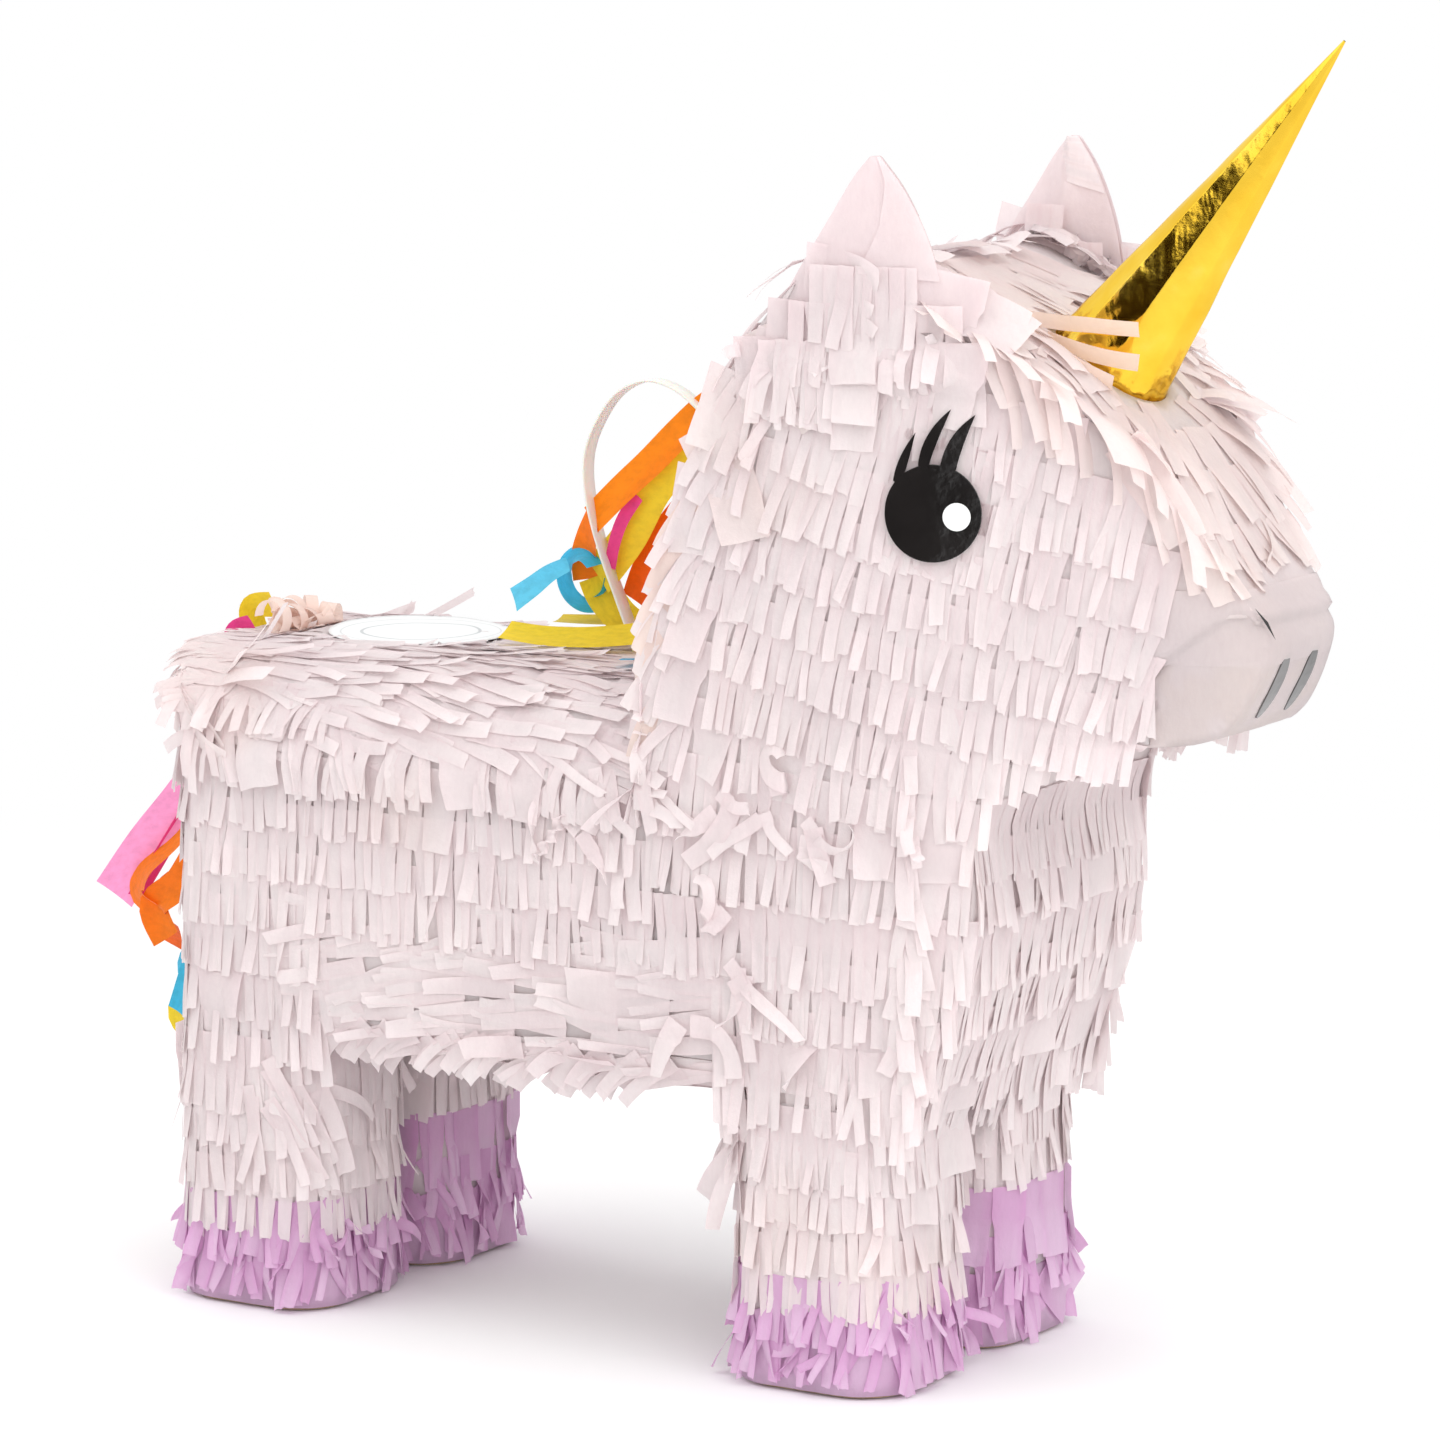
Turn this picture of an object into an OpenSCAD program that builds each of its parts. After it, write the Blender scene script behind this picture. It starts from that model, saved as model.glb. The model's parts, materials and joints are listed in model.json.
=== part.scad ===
// Unicorn pinata: a hollow cardboard carcass on four tube legs, covered with tissue fringe,
// with a foil horn, ribbon mane and tail, a hanging strap and a fill flap in its back.
// X runs forward, from tail to horn. Y is the animal's left. Z is up from the floor. Millimetres.

/* [Body] */
// Half of the body's width over the side boards
body_half_w = 79; // [76:1:82]
// Height of the top of the back board
back_z = 266; // [264:1:268]
// Height of the underside of the belly board
belly_z = 117; // [114:1:120]
// Distance from the middle of the legs back to the rump
rump_back = 167.5; // [167.5:0.5:172]
// Radius of the bend where the back rolls down to the sides
shoulder_r = 42; // [36:1:44]
// Radius of the rump's upright corners
rump_corner_r = 22; // [16:1:26]
// Thickness of the carcass board
board_t = 2; // [1.5:0.5:2.5]

/* [Head] */
// Place along the body where the side boards start to bend inwards
bend_x = 148; // [142:1:152]
// Radius of that bend
bend_r = 110; // [90:5:130]
// Angle at which the cheeks run in towards the nose
cheek_angle = 21.5; // [18:0.5:24]
// Length of the flat part of the cheek boards
cheek_len = 132; // [130:1:140]

/* [Legs] */
// Outside width of a leg tube
leg_w = 69; // [64:1:70]
// Corner radius of a leg tube
leg_corner_r = 20; // [14:1:24]
// Distance from the body's middle to the centre of a leg, along the body
leg_x = 133; // [130:0.5:133]
// Distance from the body's middle to the centre of a leg, across the body
leg_y = 44.5; // [44:0.5:46]
// Thickness of the board disc that closes a leg
sole_t = 3; // [2:0.5:4]
// Height of the coloured hoof band
hoof_h = 30; // [24:1:40]

/* [Horn] */
// Radius of the horn at its base
horn_r = 24.5; // [20:0.5:28]
// Length of the horn from the board to its tip
horn_len = 158; // [140:1:170]
// Lean of the horn forward from upright
horn_lean = 37.5; // [30:0.5:45]
// Thickness of the horn's foil card
horn_t = 1; // [0.8:0.1:1.5]

/* [Tissue] */
// Thickness of the glued layers of tissue
tissue_t = 3; // [2:0.5:4]
// Thickness of the tissue layers on top of the back
back_tissue_t = 4; // [3:0.5:5]

/* [Fill flap] */
// Length of the flap along the back
flap_len = 71; // [60:1:74]
// Width of the flap
flap_w = 60; // [50:1:62]
// Place of the flap's crease, measured back from the middle of the legs
flap_hinge_back = 141; // [139:1:142]
// Gap cut round the flap
flap_gap = 1; // [0.8:0.1:1.5]
// Radius of the round sticker over the flap
label_r = 38; // [34:1:39]

/* [Hanging strap] */
// Width of the flat strap
strap_w = 8; // [6:0.5:9]
// Thickness of the strap
strap_t = 1; // [0.8:0.1:1.2]

/* [Ribbons] */
// Width of a ribbon
ribbon_w = 10; // [8:0.5:11]
// Thickness of a ribbon with its folds
ribbon_t = 0.8; // [0.6:0.1:1]

/* [Stickers] */
// Radius of the eye
eye_r = 18.5; // [16:0.5:20]
// Radius of the white dot on the eye
glint_r = 5.3; // [4:0.1:6]
// Thickness of a sticker
sticker_t = 0.5; // [0.4:0.1:0.6]

/* [Hidden] */
$fn = 64;

// The origin is under the middle of the part's length, this far in front of the legs' middle.
// The tail's tip is as far behind it as the horn's tip is in front.
frame_x = 30;
horn_base = [221, 0, 397];
horn_tip_r = 0.6;
horn_tip_x = horn_base[0] + horn_len * sin(horn_lean) + horn_tip_r * cos(horn_lean);
tail_tip_x = 2 * frame_x - horn_tip_x;

rump_x = -rump_back;
shoulder_z = back_z - shoulder_r;
belly_corner_r = 10;
side_low_z = belly_z + belly_corner_r;
rump_seam_x = rump_x + rump_corner_r;
neck_x = 66;
spline_steps = 3;
far = 400;
far_low = -20;

// Side outline of neck, head and chest in X and Z, from the neck's root over the head to the legs
crest_points = [
  [neck_x, shoulder_z], [neck_x, 285], [74, 320], [84, 352], [94, 378], [108, 402], [128, 425]
];
brow_points = [
  [146, 434], [172, 424], [200, 409], [222, 396], [245, 378], [262, 358], [274, 340], [286, 322]
];
snout_points = [[299, 306], [303, 299], [300, 287], [294, 275], [287, 266]];
jaw_points = [[277, 261], [250, 259], [226, 257]];
chest_foot_x = 172;
chest_points = [
  [212, 252], [203, 240], [197, 222], [199, 200], [196, 180], [189, 155], [180, 134], [chest_foot_x, belly_z]
];

function spline_at(a, b, c, d, t) =
  0.5 * (2 * b + (c - a) * t + (2 * a - 5 * b + 4 * c - d) * t * t + (3 * b - a - 3 * c + d) * t * t * t);
function spline(p, n) = concat(
  [for (i = [0:len(p) - 2]) for (k = [0:n - 1])
    spline_at(p[max(i - 1, 0)], p[i], p[i + 1], p[min(i + 2, len(p) - 1)], k / n)],
  [p[len(p) - 1]]);
function reversed(p) = [for (i = [len(p) - 1:-1:0]) p[i]];
function slice(p, a, b) = [for (i = [a:b]) p[i]];
function arc(c, r, a0, a1, n) = [for (k = [0:n]) let (a = a0 + (a1 - a0) * k / n) c + r * [cos(a), sin(a)]];
function ellipse(rx, ry, n) = [for (k = [0:n - 1]) [rx * cos(360 * k / n), ry * sin(360 * k / n)]];

// A line moved sideways by d, with mitred corners. On head_line a positive d is outwards.
function seg_normal(p, i) = let (v = (p[i + 1] - p[i]) / norm(p[i + 1] - p[i])) [-v[1], v[0]];
function offset_line(p, d) = [for (i = [0:len(p) - 1])
  let (n0 = seg_normal(p, max(i - 1, 0)), n1 = seg_normal(p, min(i, len(p) - 2)))
  p[i] + d * (n0 + n1) / (1 + n0 * n1)];

crest_start = 0;
brow_start = spline_steps * len(crest_points);
snout_start = brow_start + spline_steps * len(brow_points);
jaw_start = snout_start + spline_steps * len(snout_points);
chest_start = jaw_start + spline_steps * len(jaw_points);
head_line = spline(concat(crest_points, brow_points, snout_points, jaw_points, chest_points), spline_steps);
chest_end = len(head_line) - 1;

// Outline of one side seen from above, d outside the board's face, from the rump to the nose
function plan_line(d) = concat(
  arc([rump_seam_x, body_half_w - rump_corner_r], rump_corner_r + d, 180, 90, 8),
  arc([bend_x, body_half_w - bend_r], bend_r + d, 90, 90 - cheek_angle, 6),
  [[bend_x, body_half_w - bend_r]
    + (bend_r + d) * [sin(cheek_angle), cos(cheek_angle)]
    + cheek_len * [cos(cheek_angle), -sin(cheek_angle)]]);
function mirrored(p) = [for (q = p) [q[0], -q[1]]];

// A 2-D drawing in X and Z, pushed across the body
module across(half_w = far) {
  rotate([90, 0, 0]) linear_extrude(2 * half_w, center = true) children();
}
// A 2-D drawing in Y and Z, pushed along the body
module along(x0, x1) {
  translate([x0, 0, 0]) rotate([90, 0, 90]) linear_extrude(x1 - x0) children();
}
module upright(z0, z1) {
  translate([0, 0, z0]) linear_extrude(z1 - z0) children();
}
module on_side(side) {
  if (side > 0) children();
  else mirror([0, 1, 0]) children();
}
// A strip of the head's outline between two offsets and two indices
module band(d0, d1, a, b) {
  polygon(concat(
    slice(offset_line(head_line, d0), a, b),
    reversed(slice(offset_line(head_line, d1), a, b))));
}
module profile(d) {
  polygon(concat([[-far, far_low], [-far, shoulder_z]], offset_line(head_line, d), [[chest_foot_x, far_low]]));
}
module plan_solid(d) {
  upright(far_low, far * 1.5) polygon(concat(plan_line(d), reversed(mirrored(plan_line(d)))));
}
module plan_wall(d0, d1, side) {
  on_side(side) upright(far_low, far * 1.5) polygon(concat(plan_line(d0), reversed(plan_line(d1))));
}
module torso_section(d) {
  polygon(concat(
    arc([body_half_w - shoulder_r, shoulder_z], shoulder_r + d, 0, 90, 10),
    arc([shoulder_r - body_half_w, shoulder_z], shoulder_r + d, 90, 180, 10),
    arc([belly_corner_r - body_half_w, side_low_z], belly_corner_r + d, 180, 270, 4),
    arc([body_half_w - belly_corner_r, side_low_z], belly_corner_r + d, 270, 360, 4)));
}
module torso(d) {
  intersection() {
    along(rump_x - 20, 200) torso_section(d);
    plan_solid(d);
  }
}
module torso_shell(d0, d1) {
  difference() {
    torso(d0);
    torso(d1);
  }
}
module slab(x0, x1, z0, z1) {
  translate([x0, -far / 2, z0]) cube([x1 - x0, far, z1 - z0]);
}
module in_frame() {
  translate([-frame_x, 0, 0]) children();
}

// ---- carcass boards ----

module side_area() {
  difference() {
    profile(0);
    translate([-2 * far, 0]) square([2 * far + rump_seam_x, far]);
    translate([-far, shoulder_z]) square([far + neck_x, far]);
    translate([-far, far_low]) square([2 * far, side_low_z - far_low]);
  }
}
module side_board(side) {
  color("burlywood") in_frame() intersection() {
    across() side_area();
    plan_wall(0, -board_t, side);
  }
}
module flap_cut(z0, z1, gap) {
  translate([-flap_hinge_back - gap, -flap_w / 2 - gap, z0])
    cube([flap_len + 2 * gap, flap_w + 2 * gap, z1 - z0]);
}
module back_board() {
  color("burlywood") in_frame() difference() {
    intersection() {
      torso_shell(0, -board_t);
      slab(rump_seam_x, neck_x, shoulder_z, back_z + 1);
    }
    flap_cut(back_z - 10, back_z + 10, flap_gap);
    strap_slot();
  }
}
module rump_board() {
  color("burlywood") in_frame() intersection() {
    torso_shell(0, -board_t);
    slab(rump_x - 1, rump_seam_x, belly_z, back_z);
  }
}
module belly_board() {
  color("burlywood") in_frame() intersection() {
    torso_shell(0, -board_t);
    slab(rump_seam_x, 200, belly_z, side_low_z);
    across() profile(-board_t);
  }
}
module head_board(a, b) {
  intersection() {
    across() band(0, -board_t, a, b);
    plan_solid(-board_t);
  }
}
module crest_board() {
  color("burlywood") in_frame() difference() {
    head_board(crest_start, brow_start);
    torso(0);
    strap_slot();
  }
}
module forehead_board() {
  color("burlywood") in_frame() head_board(brow_start, snout_start);
}
module snout_board() {
  color("burlywood") in_frame() head_board(snout_start, jaw_start);
}
module jaw_board() {
  color("burlywood") in_frame() head_board(jaw_start, chest_start);
}
module chest_board() {
  color("burlywood") in_frame() head_board(chest_start, chest_end);
}

// ---- legs ----

module rounded_square(w, r) {
  square([w - 2 * r, w], center = true);
  square([w, w - 2 * r], center = true);
  for (sx = [-1, 1], sy = [-1, 1]) translate([sx, sy] * (w / 2 - r)) circle(r);
}
module tube_ring(grow, wall) {
  difference() {
    rounded_square(leg_w + 2 * grow, leg_corner_r + grow);
    rounded_square(leg_w + 2 * grow - 2 * wall, leg_corner_r + grow - wall);
  }
}
module at_leg(front, side) {
  translate([front * leg_x, side * leg_y, 0]) children();
}
module leg_tube(front, side) {
  color("burlywood") in_frame() at_leg(front, side) upright(sole_t, belly_z) tube_ring(0, board_t);
}
module hoof_soles() {
  color("burlywood") in_frame() for (f = [-1, 1], s = [-1, 1])
    at_leg(f, s) upright(0, sole_t) rounded_square(leg_w, leg_corner_r);
}
tape_t = 0.4;
tape_h = 16;
tape_flange = 9;
module leg_tape(front, side) {
  at_leg(front, side) upright(belly_z - tape_h, belly_z) tube_ring(tape_t, tape_t);
  intersection() {
    at_leg(front, side) upright(belly_z - tape_t, belly_z) tube_ring(tape_flange, tape_flange);
    translate([-leg_x - leg_w / 2, belly_corner_r - body_half_w, 0])
      cube([2 * leg_x + leg_w, 2 * (body_half_w - belly_corner_r), belly_z]);
  }
}
module leg_tapes() {
  color("tan") in_frame() for (f = [-1, 1], s = [-1, 1]) leg_tape(f, s);
}

// ---- ears and horn ----

ear_t = 1.5;
ear_points = [[112, 398], [130, 431], [149, 458], [165, 478], [177, 468], [189, 449], [196, 428], [196, 408]];
ear_line = spline(ear_points, 3);
module ear(side) {
  color("mistyrose") in_frame() intersection() {
    across() polygon(ear_line);
    plan_wall(ear_t, 0, side);
  }
}
module horn_place() {
  translate(horn_base) rotate([0, horn_lean, 0]) children();
}
// The cone runs on below the board, so that the board's curve can cut it off
horn_root = 20;
module horn_outside() {
  horn_place() translate([0, 0, -horn_root])
    cylinder(h = horn_len + horn_root, r1 = horn_r * (1 + horn_root / horn_len), r2 = horn_tip_r);
}
module horn_cone() {
  color("gold") in_frame() difference() {
    horn_outside();
    horn_place() translate([0, 0, -horn_root - 1])
      cylinder(h = horn_len + 12, r1 = horn_r * (1 + (horn_root + 1) / horn_len) - horn_t, r2 = 0.4);
    across() profile(0);
  }
}
flange_w = 9;
flange_t = 1;
module horn_flange_shape() {
  intersection() {
    across(horn_r + flange_w) band(flange_t, 0, brow_start, snout_start);
    horn_place() translate([0, 0, -15]) cylinder(h = 40, r = horn_r + flange_w);
  }
}
module horn_flange() {
  color("goldenrod") in_frame() difference() {
    horn_flange_shape();
    horn_outside();
  }
}

// ---- hanging strap ----

strap_line = spline([[9, 256], [8, 272], [0, 292], [-8, 311], [-14, 331], [-15, 348], [-10, 362], [0, 375],
  [14, 381], [28, 378], [42, 368], [54, 356], [66, 347], [80, 340], [90, 336]], 2);
strap_slot_gap = 0.3;
module strap_shape(half_t, half_w) {
  across(half_w)
    polygon(concat(offset_line(strap_line, half_t), reversed(offset_line(strap_line, -half_t))));
}
module hanging_strap() {
  color("ivory") in_frame() strap_shape(strap_t / 2, strap_w / 2);
}
module strap_slot() {
  strap_shape(strap_t / 2 + strap_slot_gap, strap_w / 2 + strap_slot_gap);
}
anchor_t = 1.5;
module strap_anchor_cards() {
  color("tan") in_frame() difference() {
    union() {
      translate([-6, -14, back_z - board_t - anchor_t]) cube([30, 28, anchor_t]);
      intersection() {
        across(14) band(-board_t, -board_t - anchor_t, crest_start, brow_start);
        slab(60, 120, 324, 352);
      }
    }
    strap_slot();
  }
}

// ---- tissue layers ----

// Side view of the ear's glued foot and of the bare paper on the snout
module ear_area() {
  polygon(ear_line);
}
module snout_area() {
  polygon([[262, 200], [262, 288], [286, 308], [340, 312], [340, 200]]);
}
module cheek_area() {
  translate([165, 250]) square([200, 250]);
}
module side_tissue(side) {
  intersection() {
    across() children();
    plan_wall(tissue_t, 0, side);
  }
}
module fringe_side(side) {
  color("mistyrose") in_frame() side_tissue(side) intersection() {
    side_area();
    translate([-far, 0]) square([far + neck_x, far]);
  }
}
module fringe_neck(side) {
  color("mistyrose") in_frame() side_tissue(side) difference() {
    side_area();
    translate([-far, 0]) square([far + neck_x, far]);
    cheek_area();
    ear_area();
  }
}
module fringe_cheek(side) {
  color("mistyrose") in_frame() side_tissue(side) difference() {
    intersection() {
      side_area();
      cheek_area();
    }
    ear_area();
    snout_area();
  }
}
// Gap between the back's tissue and the neck's
seam_gap = 1;
module back_layer() {
  difference() {
    intersection() {
      translate([0, 0, back_tissue_t - tissue_t]) torso(tissue_t);
      torso(back_tissue_t);
    }
    torso(0);
  }
}
module fringe_back() {
  color("mistyrose") in_frame() difference() {
    intersection() {
      back_layer();
      slab(rump_seam_x, neck_x - tissue_t - seam_gap, shoulder_z, back_z + 10);
    }
    flap_cut(back_z - 10, back_z + 10, flap_gap);
    strap_slot();
  }
}
tail_half_w = 28;
module fringe_rump() {
  color("mistyrose") in_frame() difference() {
    intersection() {
      torso_shell(tissue_t, 0);
      slab(rump_x - 20, rump_seam_x, belly_z - tissue_t, back_z + tissue_t);
    }
    translate([rump_x - 20, -tail_half_w - 1, back_z - 18]) cube([20, 2 * tail_half_w + 2, 40]);
    leg_roots();
  }
}
module leg_roots() {
  for (f = [-1, 1], s = [-1, 1]) {
    at_leg(f, s) upright(belly_z - 2 * tape_h, belly_z + 1) rounded_square(leg_w, leg_corner_r);
    leg_tape(f, s);
  }
}
module fringe_belly() {
  color("mistyrose") in_frame() difference() {
    intersection() {
      torso_shell(tissue_t, 0);
      slab(rump_seam_x, 200, belly_z - tissue_t, side_low_z);
      across() profile(0);
    }
    leg_roots();
  }
}
module head_layer(t, a, b) {
  intersection() {
    across() band(t, 0, a, b);
    plan_solid(t);
  }
}
module fringe_crest() {
  color("mistyrose") in_frame() difference() {
    head_layer(tissue_t, crest_start, brow_start);
    torso(0);
    strap_slot();
    slab(neck_x - 20, neck_x + 20, 200, shoulder_z);
    for (s = [-1, 1]) ear_block(s);
  }
}
module ear_block(side) {
  intersection() {
    across() ear_area();
    plan_wall(tissue_t, 0, side);
  }
}
module fringe_forehead() {
  color("mistyrose") in_frame() difference() {
    head_layer(tissue_t, brow_start, snout_start);
    horn_outside();
    horn_flange_shape();
    for (s = [-1, 1]) ear_block(s);
  }
}
module fringe_chest() {
  color("mistyrose") in_frame() head_layer(tissue_t, chest_start, chest_end);
}
paper_t = 1;
module snout_paper() {
  color("pink") in_frame() {
    head_layer(paper_t, snout_start, chest_start);
    intersection() {
      across() intersection() {
        side_area();
        snout_area();
      }
      union() {
        plan_wall(paper_t, 0, 1);
        plan_wall(paper_t, 0, -1);
      }
    }
  }
}
module fringe_leg(front, side) {
  color("mistyrose") in_frame() difference() {
    at_leg(front, side) upright(hoof_h, belly_z - tissue_t) tube_ring(tissue_t, tissue_t);
    leg_tape(front, side);
  }
}
hoof_clear = 1;
module fringe_hoof(front, side) {
  color("plum") in_frame() at_leg(front, side) upright(hoof_clear, hoof_h) tube_ring(tissue_t, tissue_t);
}

// ---- stickers ----

eye_centre = [186, 346];
// The cheek slants, so a round sticker is a little narrower in side view
slant = cos(cheek_angle);
lash_data = [
  [[-14.3, 11], [-13.6, 20], [-6, 30.5], [-10.2, 14.5]],
  [[-5.2, 17], [-4.5, 30], [6.5, 39.5], [-1.2, 18]],
  [[2.6, 17.5], [4.5, 30], [15, 37.5], [8.2, 16]]
];
function bezier(a, b, c, n) = [for (k = [0:n]) let (t = k / n)
  (1 - t) * (1 - t) * a + 2 * t * (1 - t) * b + t * t * c];
// One lash, from its two foot corners l[0] and l[3] by the bend l[1] to its tip l[2]
module lash(l) {
  inner_bend = (l[1] + l[3]) / 2 + [3, 0];
  polygon(concat(bezier(l[0], l[1], l[2], 6), bezier(l[2], inner_bend, l[3], 6), [[0, 0]]));
}
module eye_shape() {
  translate(eye_centre) {
    polygon(eye_r * ellipse(slant, 1, 48));
    for (l = lash_data) lash(l);
  }
}
module eye_sticker(side) {
  color("dimgray") in_frame() intersection() {
    across() eye_shape();
    plan_wall(tissue_t + sticker_t, tissue_t, side);
  }
}
module eye_glints() {
  color("white") in_frame() for (side = [-1, 1]) intersection() {
    across() translate(eye_centre + [8.6, -1.1]) polygon(glint_r * ellipse(slant, 1, 32));
    plan_wall(tissue_t + 2 * sticker_t, tissue_t + sticker_t, side);
  }
}
nostril_y = 12;
module nostril_stickers() {
  color("gray") in_frame() intersection() {
    across() band(paper_t + sticker_t, paper_t, snout_start, jaw_start);
    union() {
      for (s = [-1, 1]) along(250, 330) translate([s * nostril_y, 281]) polygon(ellipse(4.5, 13, 32));
    }
  }
}

// ---- ribbons ----

module ribbon(points, y) {
  line = spline(points, 4);
  half_t = ribbon_t / 2;
  translate([0, y, 0]) across(ribbon_w / 2)
    polygon(concat(offset_line(line, half_t), reversed(offset_line(line, -half_t))));
}
module mane_orange() {
  color("darkorange") in_frame() {
    ribbon([[107, 407], [92, 409], [70, 399], [42, 380], [14, 352], [-14, 323], [-19, 298]], -12);
    ribbon([[70, 321], [52, 318], [32, 300], [20, 276]], -12);
  }
}
module mane_yellow() {
  color("gold") in_frame() {
    ribbon([[89, 375], [72, 374], [50, 360], [24, 336], [4, 312], [-6, 286]], 12);
    ribbon([[65, 301], [46, 300], [24, 284], [-12, 275], [-50, 276]], 12);
  }
}
module mane_pink() {
  color("hotpink") in_frame() {
    ribbon([[121, 423], [104, 428], [82, 418], [56, 396], [34, 360], [24, 322]], -24);
    ribbon([[99, 394], [82, 396], [62, 384], [42, 358], [32, 326], [36, 300]], 36);
  }
}
module mane_cyan() {
  color("deepskyblue") in_frame() {
    ribbon([[78, 347], [60, 350], [36, 338], [6, 322], [-22, 312], [-34, 298], [-22, 286], [-50, 282]], 24);
    ribbon([[117, 419], [100, 422], [76, 408], [50, 384], [20, 350], [6, 312]], -36);
  }
}

tail_axis = [rump_x - 0.5, back_z - 2];
tail_tape_h = 14;
tail_tape_t = 4;
module tail_tape() {
  color("mistyrose") in_frame()
    translate([tail_axis[0] - tail_tape_t, -tail_half_w, tail_axis[1] - tail_tape_h])
      cube([tail_tape_t, 2 * tail_half_w, tail_tape_h]);
}
tail_pitch = 10.8;
tail_start = [tail_axis[0] - tail_tape_t - 0.6 * ribbon_t, tail_axis[1] - 6];
// Lanes are numbered across the tail from the right
module tail_ribbon(lane, points) {
  ribbon(concat([tail_start], points), (lane - 2) * tail_pitch);
}
module tail_pink() {
  color("hotpink") in_frame()
    tail_ribbon(0, [[-190, 232], [-203, 202], [-226, 172], [tail_tip_x + 0.3, 150]]);
}
module tail_orange() {
  color("orangered") in_frame() {
    tail_ribbon(1, [[-186, 225], [-196, 190], [-220, 166], [-228, 148], [-214, 130]]);
    tail_ribbon(4, [[-184, 228], [-188, 190], [-200, 150], [-216, 122]]);
  }
}
module tail_yellow() {
  color("gold") in_frame() tail_ribbon(2, [[-182, 225], [-185, 180], [-194, 138], [-214, 102]]);
}
module tail_blue() {
  color("deepskyblue") in_frame()
    tail_ribbon(3, [[-180, 220], [-182, 175], [-196, 138], [-212, 114], [-200, 84]]);
}

// ---- fill flap ----

module fill_flap() {
  color("burlywood") in_frame() translate([-flap_hinge_back, -flap_w / 2, back_z - board_t])
    cube([flap_len, flap_w, board_t]);
}
module flap_tissue() {
  color("mistyrose") in_frame() translate([-flap_hinge_back, -flap_w / 2, back_z])
    cube([flap_len, flap_w, back_tissue_t]);
}
label_centre = [label_r + 2.5 - flap_hinge_back, 5];
module seal_label() {
  color("white") in_frame() translate([label_centre[0], label_centre[1], back_z + back_tissue_t])
    difference() {
      cylinder(h = sticker_t + 0.3, r = label_r);
      difference() {
        translate([0, 0, -1]) cylinder(h = 1.3, r = 2 * label_r);
        translate([-flap_hinge_back - label_centre[0] + 1, -flap_w / 2 - label_centre[1] + 1, -1])
          cube([flap_len - 2, flap_w - 2, 2]);
      }
    }
}

side_board(-1);  // side_board_right
side_board(1);  // side_board_left
back_board();
rump_board();
belly_board();
crest_board();
forehead_board();
snout_board();
jaw_board();
chest_board();
leg_tube(1, -1);  // leg_tube_front_right
leg_tube(1, 1);  // leg_tube_front_left
leg_tube(-1, -1);  // leg_tube_rear_right
leg_tube(-1, 1);  // leg_tube_rear_left
hoof_soles();
leg_tapes();
ear(-1);  // ear_right
ear(1);  // ear_left
horn_cone();
horn_flange();
strap_anchor_cards();
hanging_strap();
fringe_side(-1);  // fringe_side_right
fringe_side(1);  // fringe_side_left
fringe_neck(-1);  // fringe_neck_right
fringe_neck(1);  // fringe_neck_left
fringe_cheek(-1);  // fringe_cheek_right
fringe_cheek(1);  // fringe_cheek_left
fringe_back();
fringe_rump();
fringe_belly();
fringe_crest();
fringe_forehead();
fringe_chest();
snout_paper();
fringe_leg(1, -1);  // fringe_leg_front_right
fringe_leg(1, 1);  // fringe_leg_front_left
fringe_leg(-1, -1);  // fringe_leg_rear_right
fringe_leg(-1, 1);  // fringe_leg_rear_left
fringe_hoof(1, -1);  // fringe_hoof_front_right
fringe_hoof(1, 1);  // fringe_hoof_front_left
fringe_hoof(-1, -1);  // fringe_hoof_rear_right
fringe_hoof(-1, 1);  // fringe_hoof_rear_left
eye_sticker(-1);  // eye_sticker_right
eye_sticker(1);  // eye_sticker_left
eye_glints();
nostril_stickers();
mane_orange();
mane_yellow();
mane_pink();
mane_cyan();
fill_flap();
flap_tissue();
seal_label();
tail_tape();
tail_pink();
tail_orange();
tail_yellow();
tail_blue();
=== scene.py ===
"""Looks of the unicorn pinata: cut tissue fringe, foil horn, ribbons, stickers, strap and studio."""

import json
import math
import random

import bmesh
import bpy
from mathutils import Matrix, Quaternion, Vector, noise
from mathutils.bvhtree import BVHTree


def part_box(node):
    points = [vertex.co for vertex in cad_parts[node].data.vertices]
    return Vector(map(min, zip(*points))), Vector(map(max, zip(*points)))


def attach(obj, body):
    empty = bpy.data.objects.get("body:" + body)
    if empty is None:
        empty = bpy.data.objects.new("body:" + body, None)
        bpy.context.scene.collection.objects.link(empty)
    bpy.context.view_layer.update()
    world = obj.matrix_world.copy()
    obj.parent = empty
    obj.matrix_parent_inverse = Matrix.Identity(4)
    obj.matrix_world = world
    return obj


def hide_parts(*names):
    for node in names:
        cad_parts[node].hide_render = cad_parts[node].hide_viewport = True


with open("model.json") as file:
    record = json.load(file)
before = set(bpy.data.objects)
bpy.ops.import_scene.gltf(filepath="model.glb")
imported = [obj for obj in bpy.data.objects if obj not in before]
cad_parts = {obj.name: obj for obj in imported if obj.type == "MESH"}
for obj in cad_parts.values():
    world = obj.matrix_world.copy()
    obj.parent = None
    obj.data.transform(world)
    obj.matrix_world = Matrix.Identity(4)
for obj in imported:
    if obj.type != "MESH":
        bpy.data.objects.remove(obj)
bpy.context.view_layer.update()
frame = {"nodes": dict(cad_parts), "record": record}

nodes = frame["nodes"]
MM = 0.001
DOWN, UP = Vector((0, 0, -1)), Vector((0, 0, 1))
FORWARD, BACKWARD = Vector((1, 0, 0)), Vector((-1, 0, 0))
RIGHT, LEFT = Vector((0, -1, 0)), Vector((0, 1, 0))
rng = random.Random(7)


def middle(node):
    low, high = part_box(node)
    return (low + high) / 2


# Lengthways places below are measured from the middle of the four legs, in millimetres
LEGS_MIDDLE = (middle("leg_tube_front_right").x + middle("leg_tube_rear_right").x) / 2


def at(x, y, z):
    return Vector((LEGS_MIDDLE + x * MM, y * MM, z * MM))


# ---- studio: camera, floor and lights ----

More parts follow.
